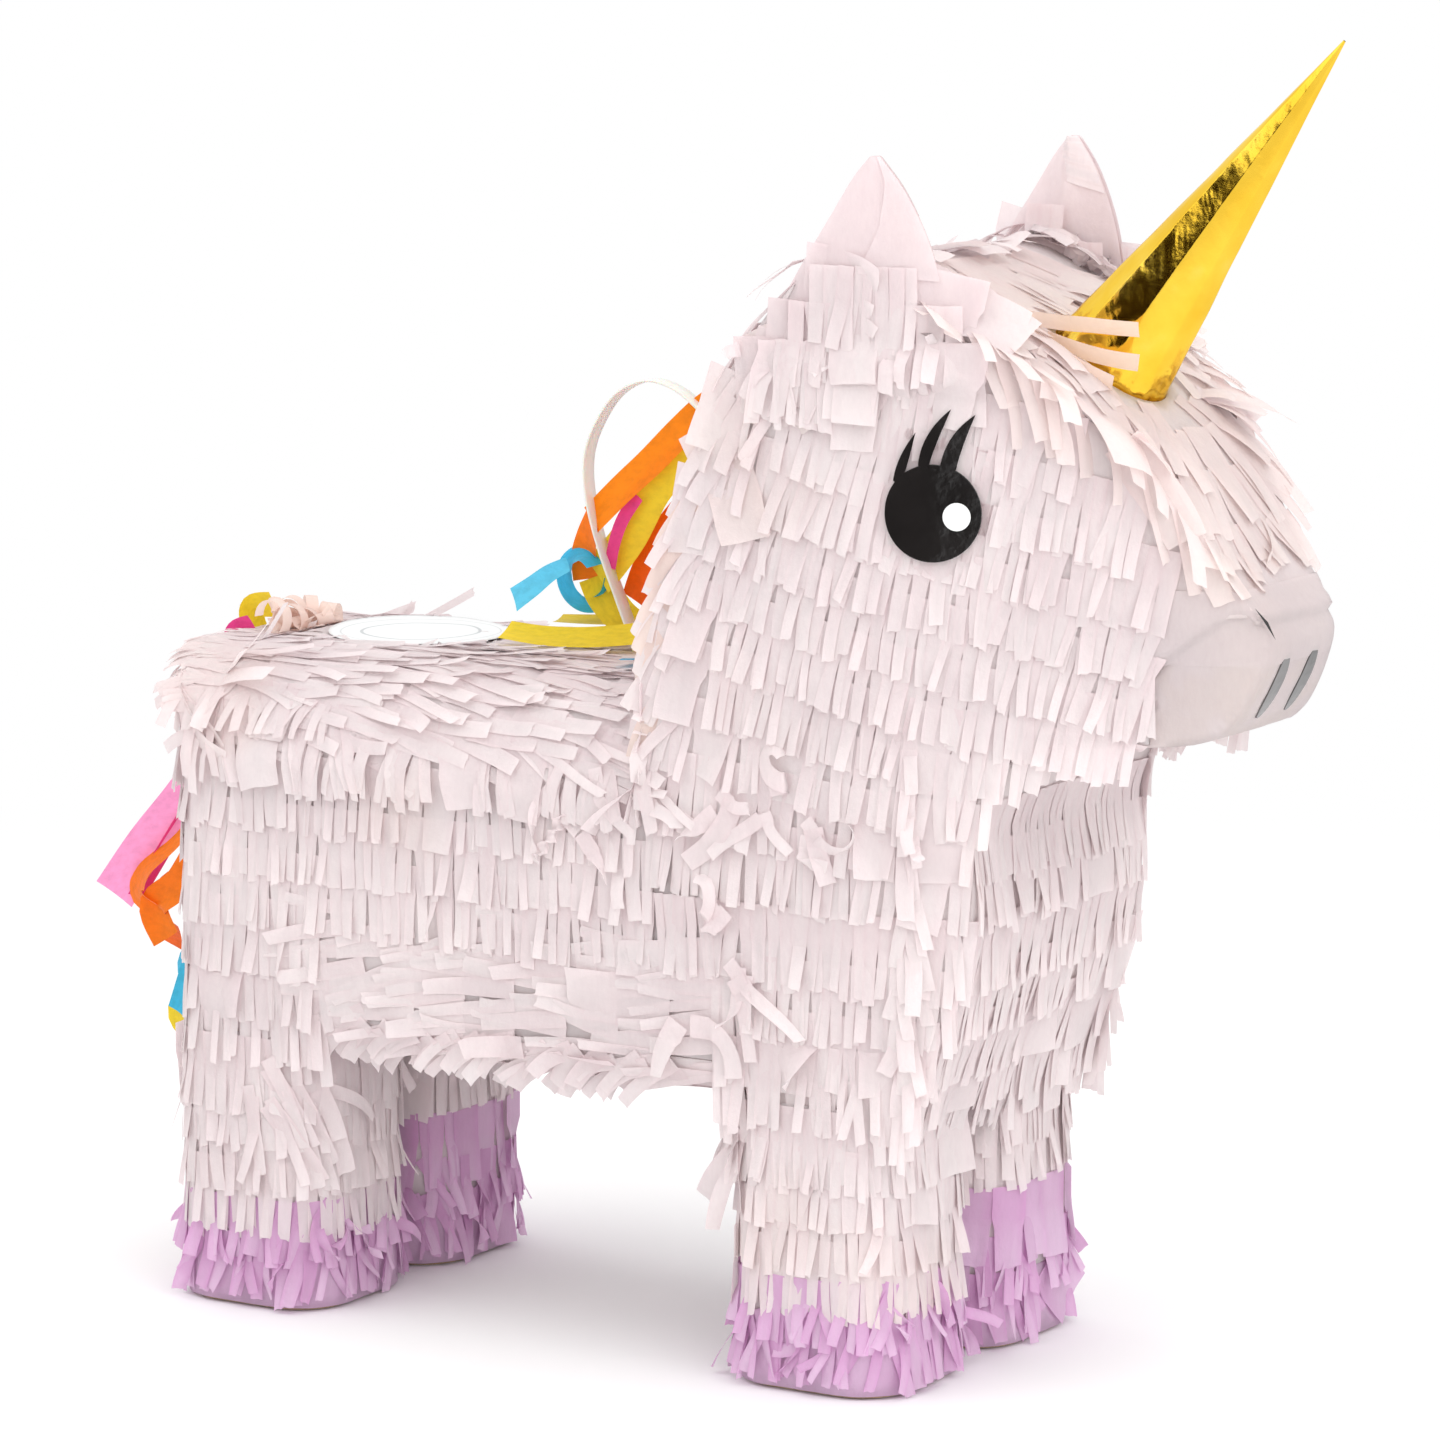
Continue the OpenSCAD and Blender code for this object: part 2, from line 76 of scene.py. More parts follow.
CAMERA_AZIMUTH = math.radians(31.2)
CAMERA_HEIGHT_ANGLE = math.radians(8.78)
CAMERA_DISTANCE = 2.4276
CAMERA_LENS = 151.7
TARGET = at(40, 0, 240)
SIGHT = Vector((
    -math.sin(CAMERA_AZIMUTH) * math.cos(CAMERA_HEIGHT_ANGLE),
    math.cos(CAMERA_AZIMUTH) * math.cos(CAMERA_HEIGHT_ANGLE),
    -math.sin(CAMERA_HEIGHT_ANGLE),
))


def add_camera():
    data = bpy.data.cameras.new("camera")
    data.lens = CAMERA_LENS
    data.sensor_width = 36
    data.clip_end = 50
    camera = bpy.data.objects.new("camera", data)
    camera.location = at(46.8, 0, 246.25) - SIGHT * CAMERA_DISTANCE
    camera.rotation_euler = SIGHT.to_track_quat("-Z", "Y").to_euler()
    bpy.context.scene.collection.objects.link(camera)
    bpy.context.scene.camera = camera


def add_area_light(name, place, size, power):
    data = bpy.data.lights.new(name, "AREA")
    data.shape = "RECTANGLE"
    data.size = data.size_y = size
    data.energy = power
    light = bpy.data.objects.new(name, data)
    light.location = place
    light.rotation_euler = (TARGET - place).to_track_quat("-Z", "Y").to_euler()
    bpy.context.scene.collection.objects.link(light)


def add_object(name, mesh):
    ob = bpy.data.objects.new(name, mesh)
    bpy.context.scene.collection.objects.link(ob)
    return ob


def add_floor():
    mesh = bpy.data.meshes.new("floor")
    reach = 8
    corners = [(-reach, -reach), (reach, -reach), (reach, reach), (-reach, reach)]
    mesh.from_pydata([(x, y, -0.0004) for x, y in corners], [], [(0, 1, 2, 3)])
    floor = add_object("floor", mesh)
    mesh.materials.append(floor_material())


def add_dark_card(name, place, aim, width, height, roll):
    """A black studio card that only mirrors see: it draws the dark band on foil and gloss."""
    mesh = bpy.data.meshes.new(name)
    w, h = width / 2, height / 2
    mesh.from_pydata([(-w, -h, 0), (w, -h, 0), (w, h, 0), (-w, h, 0)], [], [(0, 1, 2, 3)])
    card = add_object(name, mesh)
    card.location = place
    facing = (Vector(aim) - Vector(place)).to_track_quat("Z", "Y")
    card.rotation_euler = (facing @ Quaternion((0, 0, 1), roll)).to_euler()
    mesh.materials.append(card_material())
    for ray in ("camera", "diffuse", "transmission", "volume_scatter", "shadow"):
        setattr(card, "visible_" + ray, False)


def add_world():
    world = bpy.data.worlds.new("world")
    world.use_nodes = True
    background = world.node_tree.nodes["Background"]
    background.inputs["Color"].default_value = (1, 1, 1, 1)
    background.inputs["Strength"].default_value = 1.0
    bpy.context.scene.world = world
    bpy.context.scene.view_settings.view_transform = "Standard"


# ---- materials ----


class Shader:
    """A Principled material with short ways to add procedural nodes."""

    def __init__(self, name, **plain):
        self.material = bpy.data.materials.new(name)
        self.material.use_nodes = True
        self.tree = self.material.node_tree
        self.surface = self.tree.nodes["Principled BSDF"]
        for socket, value in plain.items():
            self.surface.inputs[socket.replace("_", " ")].default_value = value

    def node(self, kind, inputs=None, **settings):
        n = self.tree.nodes.new("ShaderNode" + kind)
        for key, value in settings.items():
            setattr(n, key, value)
        for key, value in (inputs or {}).items():
            if isinstance(value, bpy.types.NodeSocket):
                self.tree.links.new(value, n.inputs[key])
            else:
                n.inputs[key].default_value = value
        return n

    def place(self, stretch=(1, 1, 1)):
        coordinates = self.node("TexCoord").outputs["Object"]
        return self.node("Mapping", {"Vector": coordinates, "Scale": stretch}).outputs["Vector"]

    def noise(self, scale, detail=4, rough=0.55, stretch=(1, 1, 1), distortion=0.0):
        n = self.node("TexNoise", {
            "Vector": self.place(stretch), "Scale": scale, "Detail": detail,
            "Roughness": rough, "Distortion": distortion,
        })
        return n.outputs["Fac"]

    def ramp(self, factor, stops):
        n = self.node("ValToRGB", {"Fac": factor})
        elements = n.color_ramp.elements
        while len(elements) < len(stops):
            elements.new(0.5)
        for element, (position, colour) in zip(elements, stops):
            element.position = position
            element.color = (*colour, 1)
        return n.outputs["Color"]

    def mix(self, factor, a, b, blend="MIX"):
        n = self.node("Mix", data_type="RGBA", blend_type=blend)
        for index, value in ((0, factor), (6, a), (7, b)):
            if isinstance(value, bpy.types.NodeSocket):
                self.tree.links.new(value, n.inputs[index])
            else:
                n.inputs[index].default_value = (*value, 1) if index else value
        return n.outputs[2]

    def darken(self, base, factor, low, dark, high):
        """Multiplies base by a ramp from dark, up to low, to white, from high on."""
        return self.mix(1.0, base, self.ramp(factor, [(low, dark), (high, (1, 1, 1))]), "MULTIPLY")

    def attribute(self, name):
        return self.node("Attribute", attribute_name=name).outputs["Fac"]

    def levels(self, factor, low, high):
        n = self.node("MapRange", {"Value": factor, "To Min": low, "To Max": high})
        return n.outputs["Result"]

    def colour(self, socket):
        self.tree.links.new(socket, self.surface.inputs["Base Color"])

    def roughness(self, factor, low, high):
        self.tree.links.new(self.levels(factor, low, high), self.surface.inputs["Roughness"])

    def let_light_through(self, share):
        """Thin paper: part of the light comes through from behind, in the paper's own colour."""
        colour = self.surface.inputs["Base Color"].links[0].from_socket
        glow = self.node("BsdfTranslucent", {"Color": colour}).outputs[0]
        both = self.node("MixShader", {0: share, 1: self.surface.outputs[0], 2: glow}).outputs[0]
        self.tree.links.new(both, self.tree.nodes["Material Output"].inputs["Surface"])

    def bump(self, *layers):
        """layers are (height socket, depth in metres), laid over each other."""
        normal = None
        for height, depth in layers:
            inputs = {"Height": height, "Distance": depth, "Strength": 1.0}
            if normal is not None:
                inputs["Normal"] = normal
            normal = self.node("Bump", inputs).outputs["Normal"]
        self.tree.links.new(normal, self.surface.inputs["Normal"])


def paper(name, pale, deep, stain, stain_share=0.0):
    """Tissue: each strip's own shade runs from pale to deep, partly random tone and partly painted shade,
    with fibres, creases and a soft stain.
    """
    s = Shader(name, Roughness=0.62, Sheen_Weight=0.25, Sheen_Roughness=0.5, Specular_IOR_Level=0.25)
    shade = s.attribute("shade")
    clouds = s.noise(22, 3)
    # Painted shade: pale is the tissue as lit and deep is its colour in shade; a high shade value paints a
    # strip as shaded, partly at random and partly where add_strip deepens roots and edges.
    base = s.mix(s.levels(shade, 0.0, 1.0), pale, deep)
    base = s.darken(base, clouds, 0.35, (0.955, 0.945, 0.95), 0.62)
    fibres = s.noise(520, 6, 0.7, (1, 1, 0.35))
    base = s.darken(base, fibres, 0.3, (0.965, 0.955, 0.96), 0.6)
    if stain_share:
        spots = s.ramp(s.noise(9, 2, 0.5), [(0.57, (0, 0, 0)), (0.72, (stain_share,) * 3)])
        base = s.mix(spots, base, stain)
    s.colour(s.mix(s.attribute("stain"), base, stain))
    s.bump((s.noise(120, 5, 0.6), 0.0006), (fibres, 0.00012))
    s.let_light_through(0.4)
    return s.material


def ribbon_paper(name, light, dark):
    """Crepe ribbon: fine cross ribs; each ribbon's shade runs from light to dark, partly a deeper hue of the
    crepe and partly painted shade on folded and tucked ribbons.
    """
    s = Shader(name, Roughness=0.6, Sheen_Weight=0.3, Sheen_Roughness=0.4, Specular_IOR_Level=0.3)
    base = s.mix(s.levels(s.attribute("shade"), 0, 1), light, dark)
    ribs = s.noise(900, 3, 0.6, (0.2, 1, 0.35))
    s.colour(s.darken(base, ribs, 0.3, (0.86, 0.86, 0.86), 0.6))
    s.bump((s.noise(160, 4, 0.6), 0.0006), (ribs, 0.0002))
    s.let_light_through(0.3)
    return s.material


def cardboard():
    s = Shader("cardboard", Roughness=0.9, Specular_IOR_Level=0.15)
    fibres = s.noise(420, 8, 0.75, (1, 1, 0.25))
    clouds = s.noise(35, 3)
    browns = [(0.25, (0.33, 0.22, 0.13)), (0.5, (0.5, 0.37, 0.24)), (0.8, (0.62, 0.49, 0.34))]
    base = s.ramp(fibres, browns)
    s.colour(s.darken(base, clouds, 0.3, (0.86, 0.86, 0.85), 0.7))
    s.bump((fibres, 0.0003))
    return s.material


def gummed_tape():
    s = Shader("gummed_tape", Roughness=0.7, Specular_IOR_Level=0.3)
    grain = s.noise(500, 6, 0.7, (1, 1, 0.1))
    s.colour(s.ramp(grain, [(0.3, (0.5, 0.35, 0.2)), (0.7, (0.66, 0.5, 0.33))]))
    s.bump((s.noise(90, 4), 0.0006), (grain, 0.0001))
    return s.material


def gold_foil():
    s = Shader("gold_foil", Metallic=1.0, Specular_Tint=(1.0, 0.93, 0.6, 1))
    golds = [(0.3, (0.86, 0.5, 0.03)), (0.55, (0.95, 0.62, 0.06)), (0.75, (1.0, 0.74, 0.16))]
    s.colour(s.ramp(s.noise(30, 3, 0.5), golds))
    scuffs = s.noise(260, 6, 0.7)
    s.roughness(scuffs, 0.03, 0.2)
    s.bump((s.noise(70, 3, 0.5, (1, 1, 0.5), 0.4), 0.0006), (s.noise(420, 4, 0.6), 0.00004))
    return s.material


def vinyl(name, dark, light, low=0.08, high=0.2):
    """Printed sticker: slightly wavy gloss that follows the paper below."""
    s = Shader(name, Coat_Weight=0.6, Coat_Roughness=0.06, Specular_IOR_Level=0.5)
    s.colour(s.ramp(s.noise(30, 3), [(0.3, dark), (0.7, light)]))
    s.roughness(s.noise(300, 4), low, high)
    s.bump((s.noise(70, 3), 0.0005), (s.noise(900, 3), 0.00002))
    return s.material


def label_paper():
    """White label with two thin pale printed rings and no lettering."""
    s = Shader("label_paper", Roughness=0.45, Specular_IOR_Level=0.35)
    white, inner, outer = (0.8, 0.81, 0.81), (0.5, 0.52, 0.53), (0.56, 0.58, 0.58)
    printed = s.ramp(s.attribute("shade"), [
        (0.0, white), (0.62, white), (0.63, inner), (0.655, inner), (0.665, white),
        (0.86, white), (0.87, outer), (0.885, white),
    ])
    s.colour(s.darken(printed, s.noise(400, 6), 0.3, (0.97, 0.97, 0.97), 0.6))
    s.bump((s.noise(60, 3), 0.0004))
    return s.material


def strap_plastic():
    s = Shader("strap_plastic", Roughness=0.35, Specular_IOR_Level=0.5, Subsurface_Weight=0.3,
               Subsurface_Scale=0.003)
    warm = s.noise(14, 2)
    s.colour(s.ramp(warm, [(0.35, (0.74, 0.76, 0.7)), (0.65, (0.8, 0.8, 0.74))]))
    s.bump((s.noise(300, 3, 0.5, (1, 4, 1)), 0.0001))
    return s.material


def floor_material():
    """Pale floor that fades into the white surroundings away from the object."""
    s = Shader("floor_matte", Roughness=0.9, Specular_IOR_Level=0.1)
    s.colour(s.ramp(s.noise(3, 3), [(0.3, (0.94, 0.94, 0.94)), (0.7, (0.95, 0.95, 0.95))]))
    away = s.node("VectorMath", {0: s.place()}, operation="LENGTH").outputs["Value"]
    distances = {"Value": away, "From Min": 0.35, "From Max": 1.3}
    fade = s.node("MapRange", distances, interpolation_type="SMOOTHSTEP")
    white = s.node("Emission", {"Color": (1, 1, 1, 1), "Strength": 1.0}).outputs[0]
    both = s.node("MixShader", {0: fade.outputs["Result"], 1: s.surface.outputs[0], 2: white}).outputs[0]
    s.tree.links.new(both, s.tree.nodes["Material Output"].inputs["Surface"])
    return s.material


def card_material():
    s = Shader("card_black", Roughness=1.0, Specular_IOR_Level=0.0)
    s.colour(s.ramp(s.noise(5), [(0.3, (0.012, 0.006, 0.002)), (0.7, (0.02, 0.01, 0.004))]))
    return s.material


PEACH = (0.98, 0.71, 0.53)
MATERIALS = {
    "cardboard": cardboard(),
    "gummed_tape": gummed_tape(),
    # Each paper's first colour is the tissue as lit and its second is the tissue in shade, painted in by the
    # shade attribute.
    "pink_tissue": paper("pink_tissue", (0.94, 0.885, 0.88), (0.91, 0.80, 0.81), PEACH, 0.10),
    "lilac_tissue": paper("lilac_tissue", (0.89, 0.69, 0.86), (0.77, 0.45, 0.71), (0.72, 0.5, 0.8)),
    "snout_paper": paper("snout_paper", (0.83, 0.755, 0.755), (0.79, 0.70, 0.705), PEACH, 0.05),
    "gold_foil": gold_foil(),
    "strap_plastic": strap_plastic(),
    "black_sticker": vinyl("black_sticker", (0.010, 0.009, 0.009), (0.016, 0.014, 0.014)),
    "white_sticker": vinyl("white_sticker", (0.86, 0.87, 0.86), (0.9, 0.9, 0.9), 0.2, 0.3),
    "grey_sticker": vinyl("grey_sticker", (0.035, 0.032, 0.032), (0.13, 0.12, 0.12), 0.25, 0.4),
    "label_paper": label_paper(),
    "ribbon_orange": ribbon_paper("ribbon_orange", (1.0, 0.27, 0.0), (0.86, 0.1, 0.0)),
    "ribbon_yellow": ribbon_paper("ribbon_yellow", (0.9, 0.68, 0.03), (0.72, 0.48, 0.01)),
    "ribbon_pink": ribbon_paper("ribbon_pink", (1.0, 0.36, 0.65), (0.83, 0.06, 0.3)),
    "ribbon_cyan": ribbon_paper("ribbon_cyan", (0.13, 0.62, 0.87), (0.0, 0.42, 0.72)),
}
SLOT_OF_NODE = {p["node"]: p["material_slot"] for p in frame["record"]["subparts"]}
BODIES = frame["record"]["behaviour"]["bodies"]
BODY_OF_NODE = {node: body for body, names in BODIES.items() for node in names}


def dress_cad_nodes():
    """Gives every CAD node the material of its slot."""
    for name, ob in nodes.items():
        ob.data.materials.clear()
        ob.data.materials.append(MATERIALS[SLOT_OF_NODE[name]])


# ---- pieces: meshes gathered strip by strip ----


class Piece:
    """Vertices and faces of one shown piece, with a shade and a stain on every vertex."""

    def __init__(self, name, slot, body, replaced=()):
        self.name, self.slot, self.body, self.replaced = name, slot, body, replaced
        self.points, self.faces, self.shade, self.stain = [], [], [], []

    def grid(self, rows, shade, stain=0.0, closed=False):
        """Quads over equally long rows of points. shade is one number, or one number or list for each row."""
        start, n = len(self.points), len(rows[0])
        for k, row in enumerate(rows):
            self.points.extend(row)
            value = shade[k] if isinstance(shade, list) else shade
            self.shade.extend(value if isinstance(value, list) else [value] * n)
            self.stain.extend([stain] * n)
        for k in range(len(rows) - 1):
            for i in range(n if closed else n - 1):
                a, b = start + k * n + i, start + k * n + (i + 1) % n
                self.faces.append((a, b, b + n, a + n))

    def make(self):
        mesh = bpy.data.meshes.new(self.name)
        mesh.from_pydata(self.points, [], self.faces)
        for name, values in (("shade", self.shade), ("stain", self.stain)):
            layer = mesh.attributes.new(name, "FLOAT", "POINT")
            layer.data.foreach_set("value", values)
        mesh.shade_smooth()
        mesh.materials.append(MATERIALS[self.slot])
        ob = add_object(self.name, mesh)
        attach(ob, self.body)
        if self.replaced:
            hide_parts(*self.replaced)
        return ob


# ---- skins: the CAD surfaces that the tissue is glued to ----


class Skin:
    """The outside of some CAD nodes, with a fast way to find the nearest place on it."""

    def __init__(self, names):
        points, faces, self.owner = [], [], []
        for name in names:
            mesh = nodes[name].data
            start = len(points)
            points.extend(v.co.copy() for v in mesh.vertices)
            for polygon in mesh.polygons:
                faces.append([start + i for i in polygon.vertices])
                self.owner.append(name)
        self.tree = BVHTree.FromPolygons(points, faces)

    def nearest(self, p):
        place, normal, _, distance = self.tree.find_nearest(p)
        return place, normal, distance

    def hit(self, start, way, reach):
        """Where a ray from start along way first meets the skin, or None."""
        return self.tree.ray_cast(start, way, reach)[0]

    def outwards(self, p):
        """Nearest place, the way out from it to p, and p's height over the surface."""
        place, normal, distance = self.nearest(p)
        away = p - place
        if away.length < 1e-6:
            return place, normal, 0.0
        if away.dot(normal) < -0.6 * distance:
            return place, -away.normalized(), -distance
        return place, away.normalized(), distance

    def ring(self, centre, e1, e2, start, end, reach=0.45):
        """Runs of (place, node) round the skin, where rays from outside towards centre meet it."""
        steps = max(24, int(abs(end - start) / 1.2))
        run, runs = [], []
        for k in range(steps + 1):
            angle = math.radians(start + (end - start) * k / steps)
            way = e1 * math.cos(angle) + e2 * math.sin(angle)
            place, _, index, _ = self.tree.ray_cast(centre + way * reach, -way, reach)
            if place is None:
                runs.append(run)
                run = []
            else:
                run.append((place, self.owner[index]))
        return [run for run in runs + [run] if len(run) > 2]


def split_run(runs, keep):
    """The stretches of runs where keep(place, node) is true, as lists of (place, node)."""
    out = []
    for run in runs:
        part = []
        for place, name in run:
            if keep(place, name):
                part.append((place, name))
            elif part:
                out.append(part)
                part = []
        out.append(part)
    return [part for part in out if len(part) > 2]


# ---- where tissue is pressed flat or must not go ----


class Press:
    """A ball in which tissue lies no higher than limit over the skin, in millimetres."""

    def __init__(self, centre, radius, limit):
        self.centre, self.radius, self.limit = centre, radius * MM, limit * MM


def sticker_presses():
    presses = []
    for side in ("right", "left"):
        low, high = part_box("eye_sticker_" + side)
        centre = (low + high) / 2
        presses.append(Press(Vector((centre.x, centre.y, low.z + 18.5 * MM)), 24, -0.2))
        presses.append(Press(Vector((centre.x - 2 * MM, centre.y, high.z - 12 * MM)), 22, 0.0))
    return presses + [Press(middle("seal_label"), 39, -0.6)]


PRESSES = sticker_presses()
HORN_FOOT = at(221, 0, 397)
HORN_WAY = Vector((math.sin(math.radians(37.5)), 0, math.cos(math.radians(37.5))))
HORN_RADIUS = 24.5 * MM
HORN_LENGTH = 158 * MM


def in_horn(p):
    along = (p - HORN_FOOT).dot(HORN_WAY)
    radius = ((p - HORN_FOOT) - HORN_WAY * along).length
    return along > -20 * MM and radius < HORN_RADIUS * (1 - along / HORN_LENGTH) + 1.0 * MM


def on_flap(p):
    low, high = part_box("flap_tissue")
    margin = 1.5 * MM
    return low.x - margin < p.x < high.x + margin and abs(p.y) < high.y + margin and p.z > low.z - 4 * MM


# ---- strips of tissue ----


class Cut:
    """How one kind of row is cut and hangs. Lengths in millimetres, angles in degrees."""

    length = 32  # from the glued end to the tip
    spread = 1.3
    glued = 0.42  # share of the length that is glued down
    width = (3.5, 6.6)  # narrowest and widest strip
    uncut = 0.035  # share of the strips that were left uncut and wide
    lean = 0.0
    lean_spread = 2.6
    wander = 6.0  # slow change of lean along a row
    lift = 1.6
    lift_spread = 2.6
    curl = -4.0
    curl_spread = 9.0
    turn_spread = 6.0
    twist_spread = 10.0
    base = 0.3
    clear = 0.8  # least height of a free strip over the skin
    wild = 0.025  # share of the strips that stand out
    ply = 0.5  # share of the strips that lie double
    droop = 0.16  # how fast the free part turns down
    shade = (0.0, 0.4)
    stain = 0.0
    steps = 9

    def __init__(self, **changes):
        for key, value in changes.items():
            assert hasattr(self, key), key
            setattr(self, key, value)


TRACK = 3.0 * MM  # how far outside the skin a glued strip is followed, so that edges stay on one side
FARTHEST_OUT = 86.5 * MM  # keeps every strip inside the size that the CAD allows
LOWEST = 0.6 * MM


def strip_path(skin, root, way, cut, base, length, lift, lean, curl, turn, twist, body):
    """Centres, sideways and outward directions of one strip, from its glued end to its free tip."""
    place, out, height = skin.outwards(root + skin.nearest(root)[1] * TRACK)
    track = place + out * TRACK
    way = way - out * way.dot(out)
    way.normalize()
    way.rotate(Quaternion(out, math.radians(lean)))
    side = out.cross(way).normalized()
    steps = cut.steps
    step = length / (steps - 1)
    glued = max(1, round(cut.glued * (steps - 1)))
    rows = []
    spot = place + out * base
    for k in range(steps):
        if k and k <= glued:
            place, out, height = skin.outwards(track + way * step)
            track = place + out * TRACK
            spot = place + out * base
            way = (way - out * way.dot(out)).normalized()
        elif k:
            if k == glued + 1:
                way.rotate(Quaternion(side, -math.radians(lift)))
            free = (k - glued) / (steps - 1 - glued)
            way.rotate(Quaternion(side, -math.radians(curl) / (steps - 1 - glued)))
            way.rotate(Quaternion(out, math.radians(turn) / (steps - 1 - glued)))
            way = (way + DOWN * cut.droop * free).normalized()
            spot = spot + way * step
            place, out, height = skin.outwards(spot)
            least = (cut.clear + 0.5 * free) * MM
            if height < least:
                spot = place + out * least
                if way.dot(out) < 0:
                    way = (way - out * way.dot(out)).normalized()
        side = (side - way * side.dot(way)).normalized()
        if k > glued:
            side.rotate(Quaternion(way, math.radians(twist) / (steps - 1 - glued)))
        for press in PRESSES:
            if (spot - press.centre).length < press.radius:
                spot = place + out * min(press.limit, height)
        if in_horn(spot) or (body == "carcass" and on_flap(spot)):
            break
        spot.y = max(-FARTHEST_OUT, min(FARTHEST_OUT, spot.y))
        spot.z = max(spot.z, LOWEST)
        rows.append((spot.copy(), side.copy(), way.cross(side)))
    return rows, glued


def add_strip(piece, skin, root, way, cut, width):
    """Cuts one strip with its own random lean, curl and twist, and adds it to piece."""
    wild = rng.random() < cut.wild
    loose = 3.0 if wild else 1.0
    wander = noise.noise(root * 16) * cut.wander
    facts = {
        "base": (cut.base + rng.uniform(0, 0.7)) * MM,
        "length": (cut.length + rng.gauss(0, cut.spread)) * MM,
        "lift": max(0, cut.lift + loose * abs(rng.gauss(0, cut.lift_spread))),
        "lean": cut.lean + wander + rng.gauss(0, cut.lean_spread) * (2.0 if wild else 1.0),
        "curl": cut.curl + rng.gauss(0, cut.curl_spread) * loose,
        "turn": rng.gauss(0, cut.turn_spread) * loose,
        "twist": rng.gauss(0, cut.twist_spread) * loose,
    }
    rows, glued = strip_path(skin, root, way, cut, body=piece.body, **facts)
    if len(rows) <= max(2, glued):
        return
    crown = rng.uniform(-0.06, 0.06) * width
    slant = rng.uniform(-0.22, 0.22)
    narrow = rng.uniform(0.9, 1.03)
    shade = rng.uniform(*cut.shade)
    points, shades = [], []
    for k, (spot, side, up) in enumerate(rows):
        free = max(0.0, (k - glued) / max(1, len(rows) - 1 - glued))
        half = width / 2 * (1.08 if k <= glued else narrow - 0.08 * free * free)
        arch = up * crown * min(1, free * 2)
        tip = (rows[-1][0] - rows[-2][0]) * slant if k == len(rows) - 1 else Vector()
        points.append([spot - side * half - tip, spot - side * half * 0.4 + arch,
                       spot + side * half * 0.4 + arch, spot + side * half + tip])
        # Painted shade: each strip is painted deeper towards its glued end, where the row above shades it,
        # and deeper still along its two edges, where the gaps between strips fall in shade.
        value = min(1.0, shade + 0.4 * (1 - free) ** 2)
        edge = min(1.0, value + 0.3)
        shades.append([edge, value, value, edge])
    piece.grid(points, shades, cut.stain)


def hang_row(skin, run, fall, cut, pieces, keep=None):
    """Cuts a row of strips along run, hanging towards fall, which is a direction or gives one for a place."""
    travelled = [0.0]
    for (a, _), (b, _) in zip(run, run[1:]):
        travelled.append(travelled[-1] + (b - a).length)
    s, k = rng.uniform(0, 2) * MM, 0
    while s < travelled[-1] - 3 * MM:
        wide = rng.random() < cut.uncut
        width = rng.uniform(14, 26) * MM if wide else rng.uniform(*cut.width) * MM
        centre = min(s + width / 2, travelled[-1])
        while travelled[k + 1] < centre and k < len(travelled) - 2:
            k += 1
        t = (centre - travelled[k]) / max(1e-9, travelled[k + 1] - travelled[k])
        root = run[k][0].lerp(run[k + 1][0], t)
        along = (run[k + 1][0] - run[k][0]).normalized()
        out = skin.outwards(root + skin.nearest(root)[1] * TRACK)[1]
        aim = fall(root) if callable(fall) else fall
        way = along.cross(out)
        if way.dot(aim) < 0:
            way = -way
        if abs(way.dot(aim)) < 0.5 or callable(fall):
            way = aim
        piece = pieces(run[k][1])
        if piece is not None and (keep is None or keep(root)):
            add_strip(piece, skin, root, way, cut, width)
            if rng.random() < cut.ply:
                add_strip(piece, skin, root, way, cut, width * 0.9)
        s += width


# ---- fringe ----

SKIN_NODES = [n for n in nodes if n.startswith("fringe_")]
PIECES = {}
for skin_node in SKIN_NODES + ["ear_right", "ear_left", "flap_tissue"]:
    piece_name = "tissue_" + skin_node.replace("fringe_", "").replace("_tissue", "")
    slot = "lilac_tissue" if "hoof" in skin_node else "pink_tissue"
    PIECES[skin_node] = Piece(piece_name, slot, BODY_OF_NODE[skin_node], (skin_node,))


def piece_of(node):
    return PIECES.get(node)


LEG_NAMES = [(f, s) for f in ("front", "rear") for s in ("right", "left")]
TRUNK = Skin([n for n in SKIN_NODES if "_leg_" not in n and "_hoof_" not in n]
             + ["ear_right", "ear_left", "snout_paper", "flap_tissue", "tail_tape"])
PITCH = 20


def hang_rows(runs, keep, fall, cut, pieces=piece_of, keep_root=None):
    """Hangs the stretches of runs that keep(place, node) allows."""
    for run in split_run(runs, keep):
        hang_row(TRUNK, run, fall, cut, pieces, keep_root)


def between_legs(p):
    x = (p.x - LEGS_MIDDLE) / MM
    return -88 < x < 92 and abs(p.y) > 60 * MM


def flank_rows():
    """Level rows round the rump, flanks and chest, from the crease under the back down to the belly."""
    crease = Cut(length=42, lift=5, lift_spread=4, lean=6, lean_spread=9, curl=0, curl_spread=5, wild=0.0,
                 ply=0.7, uncut=0.04)
    rows = [(252, crease)] + [(z, Cut()) for z in (231, 211, 191, 171, 151)]
    rows += [(138, Cut(length=35, glued=0.3)), (126, Cut(length=32, glued=0.12, lift=1.5))]
    for z, cut in rows:
        def keep(place, node, z=z):
            x = (place.x - LEGS_MIDDLE) / MM
            if node in ("tail_tape", "fringe_crest"):
                return False
            if z > 200 and x > 66:
                return False
            return not (z < 182 and between_legs(place))
        hang_rows(TRUNK.ring(at(-20, 0, z), FORWARD, LEFT, -180, 180), keep, DOWN, cut)


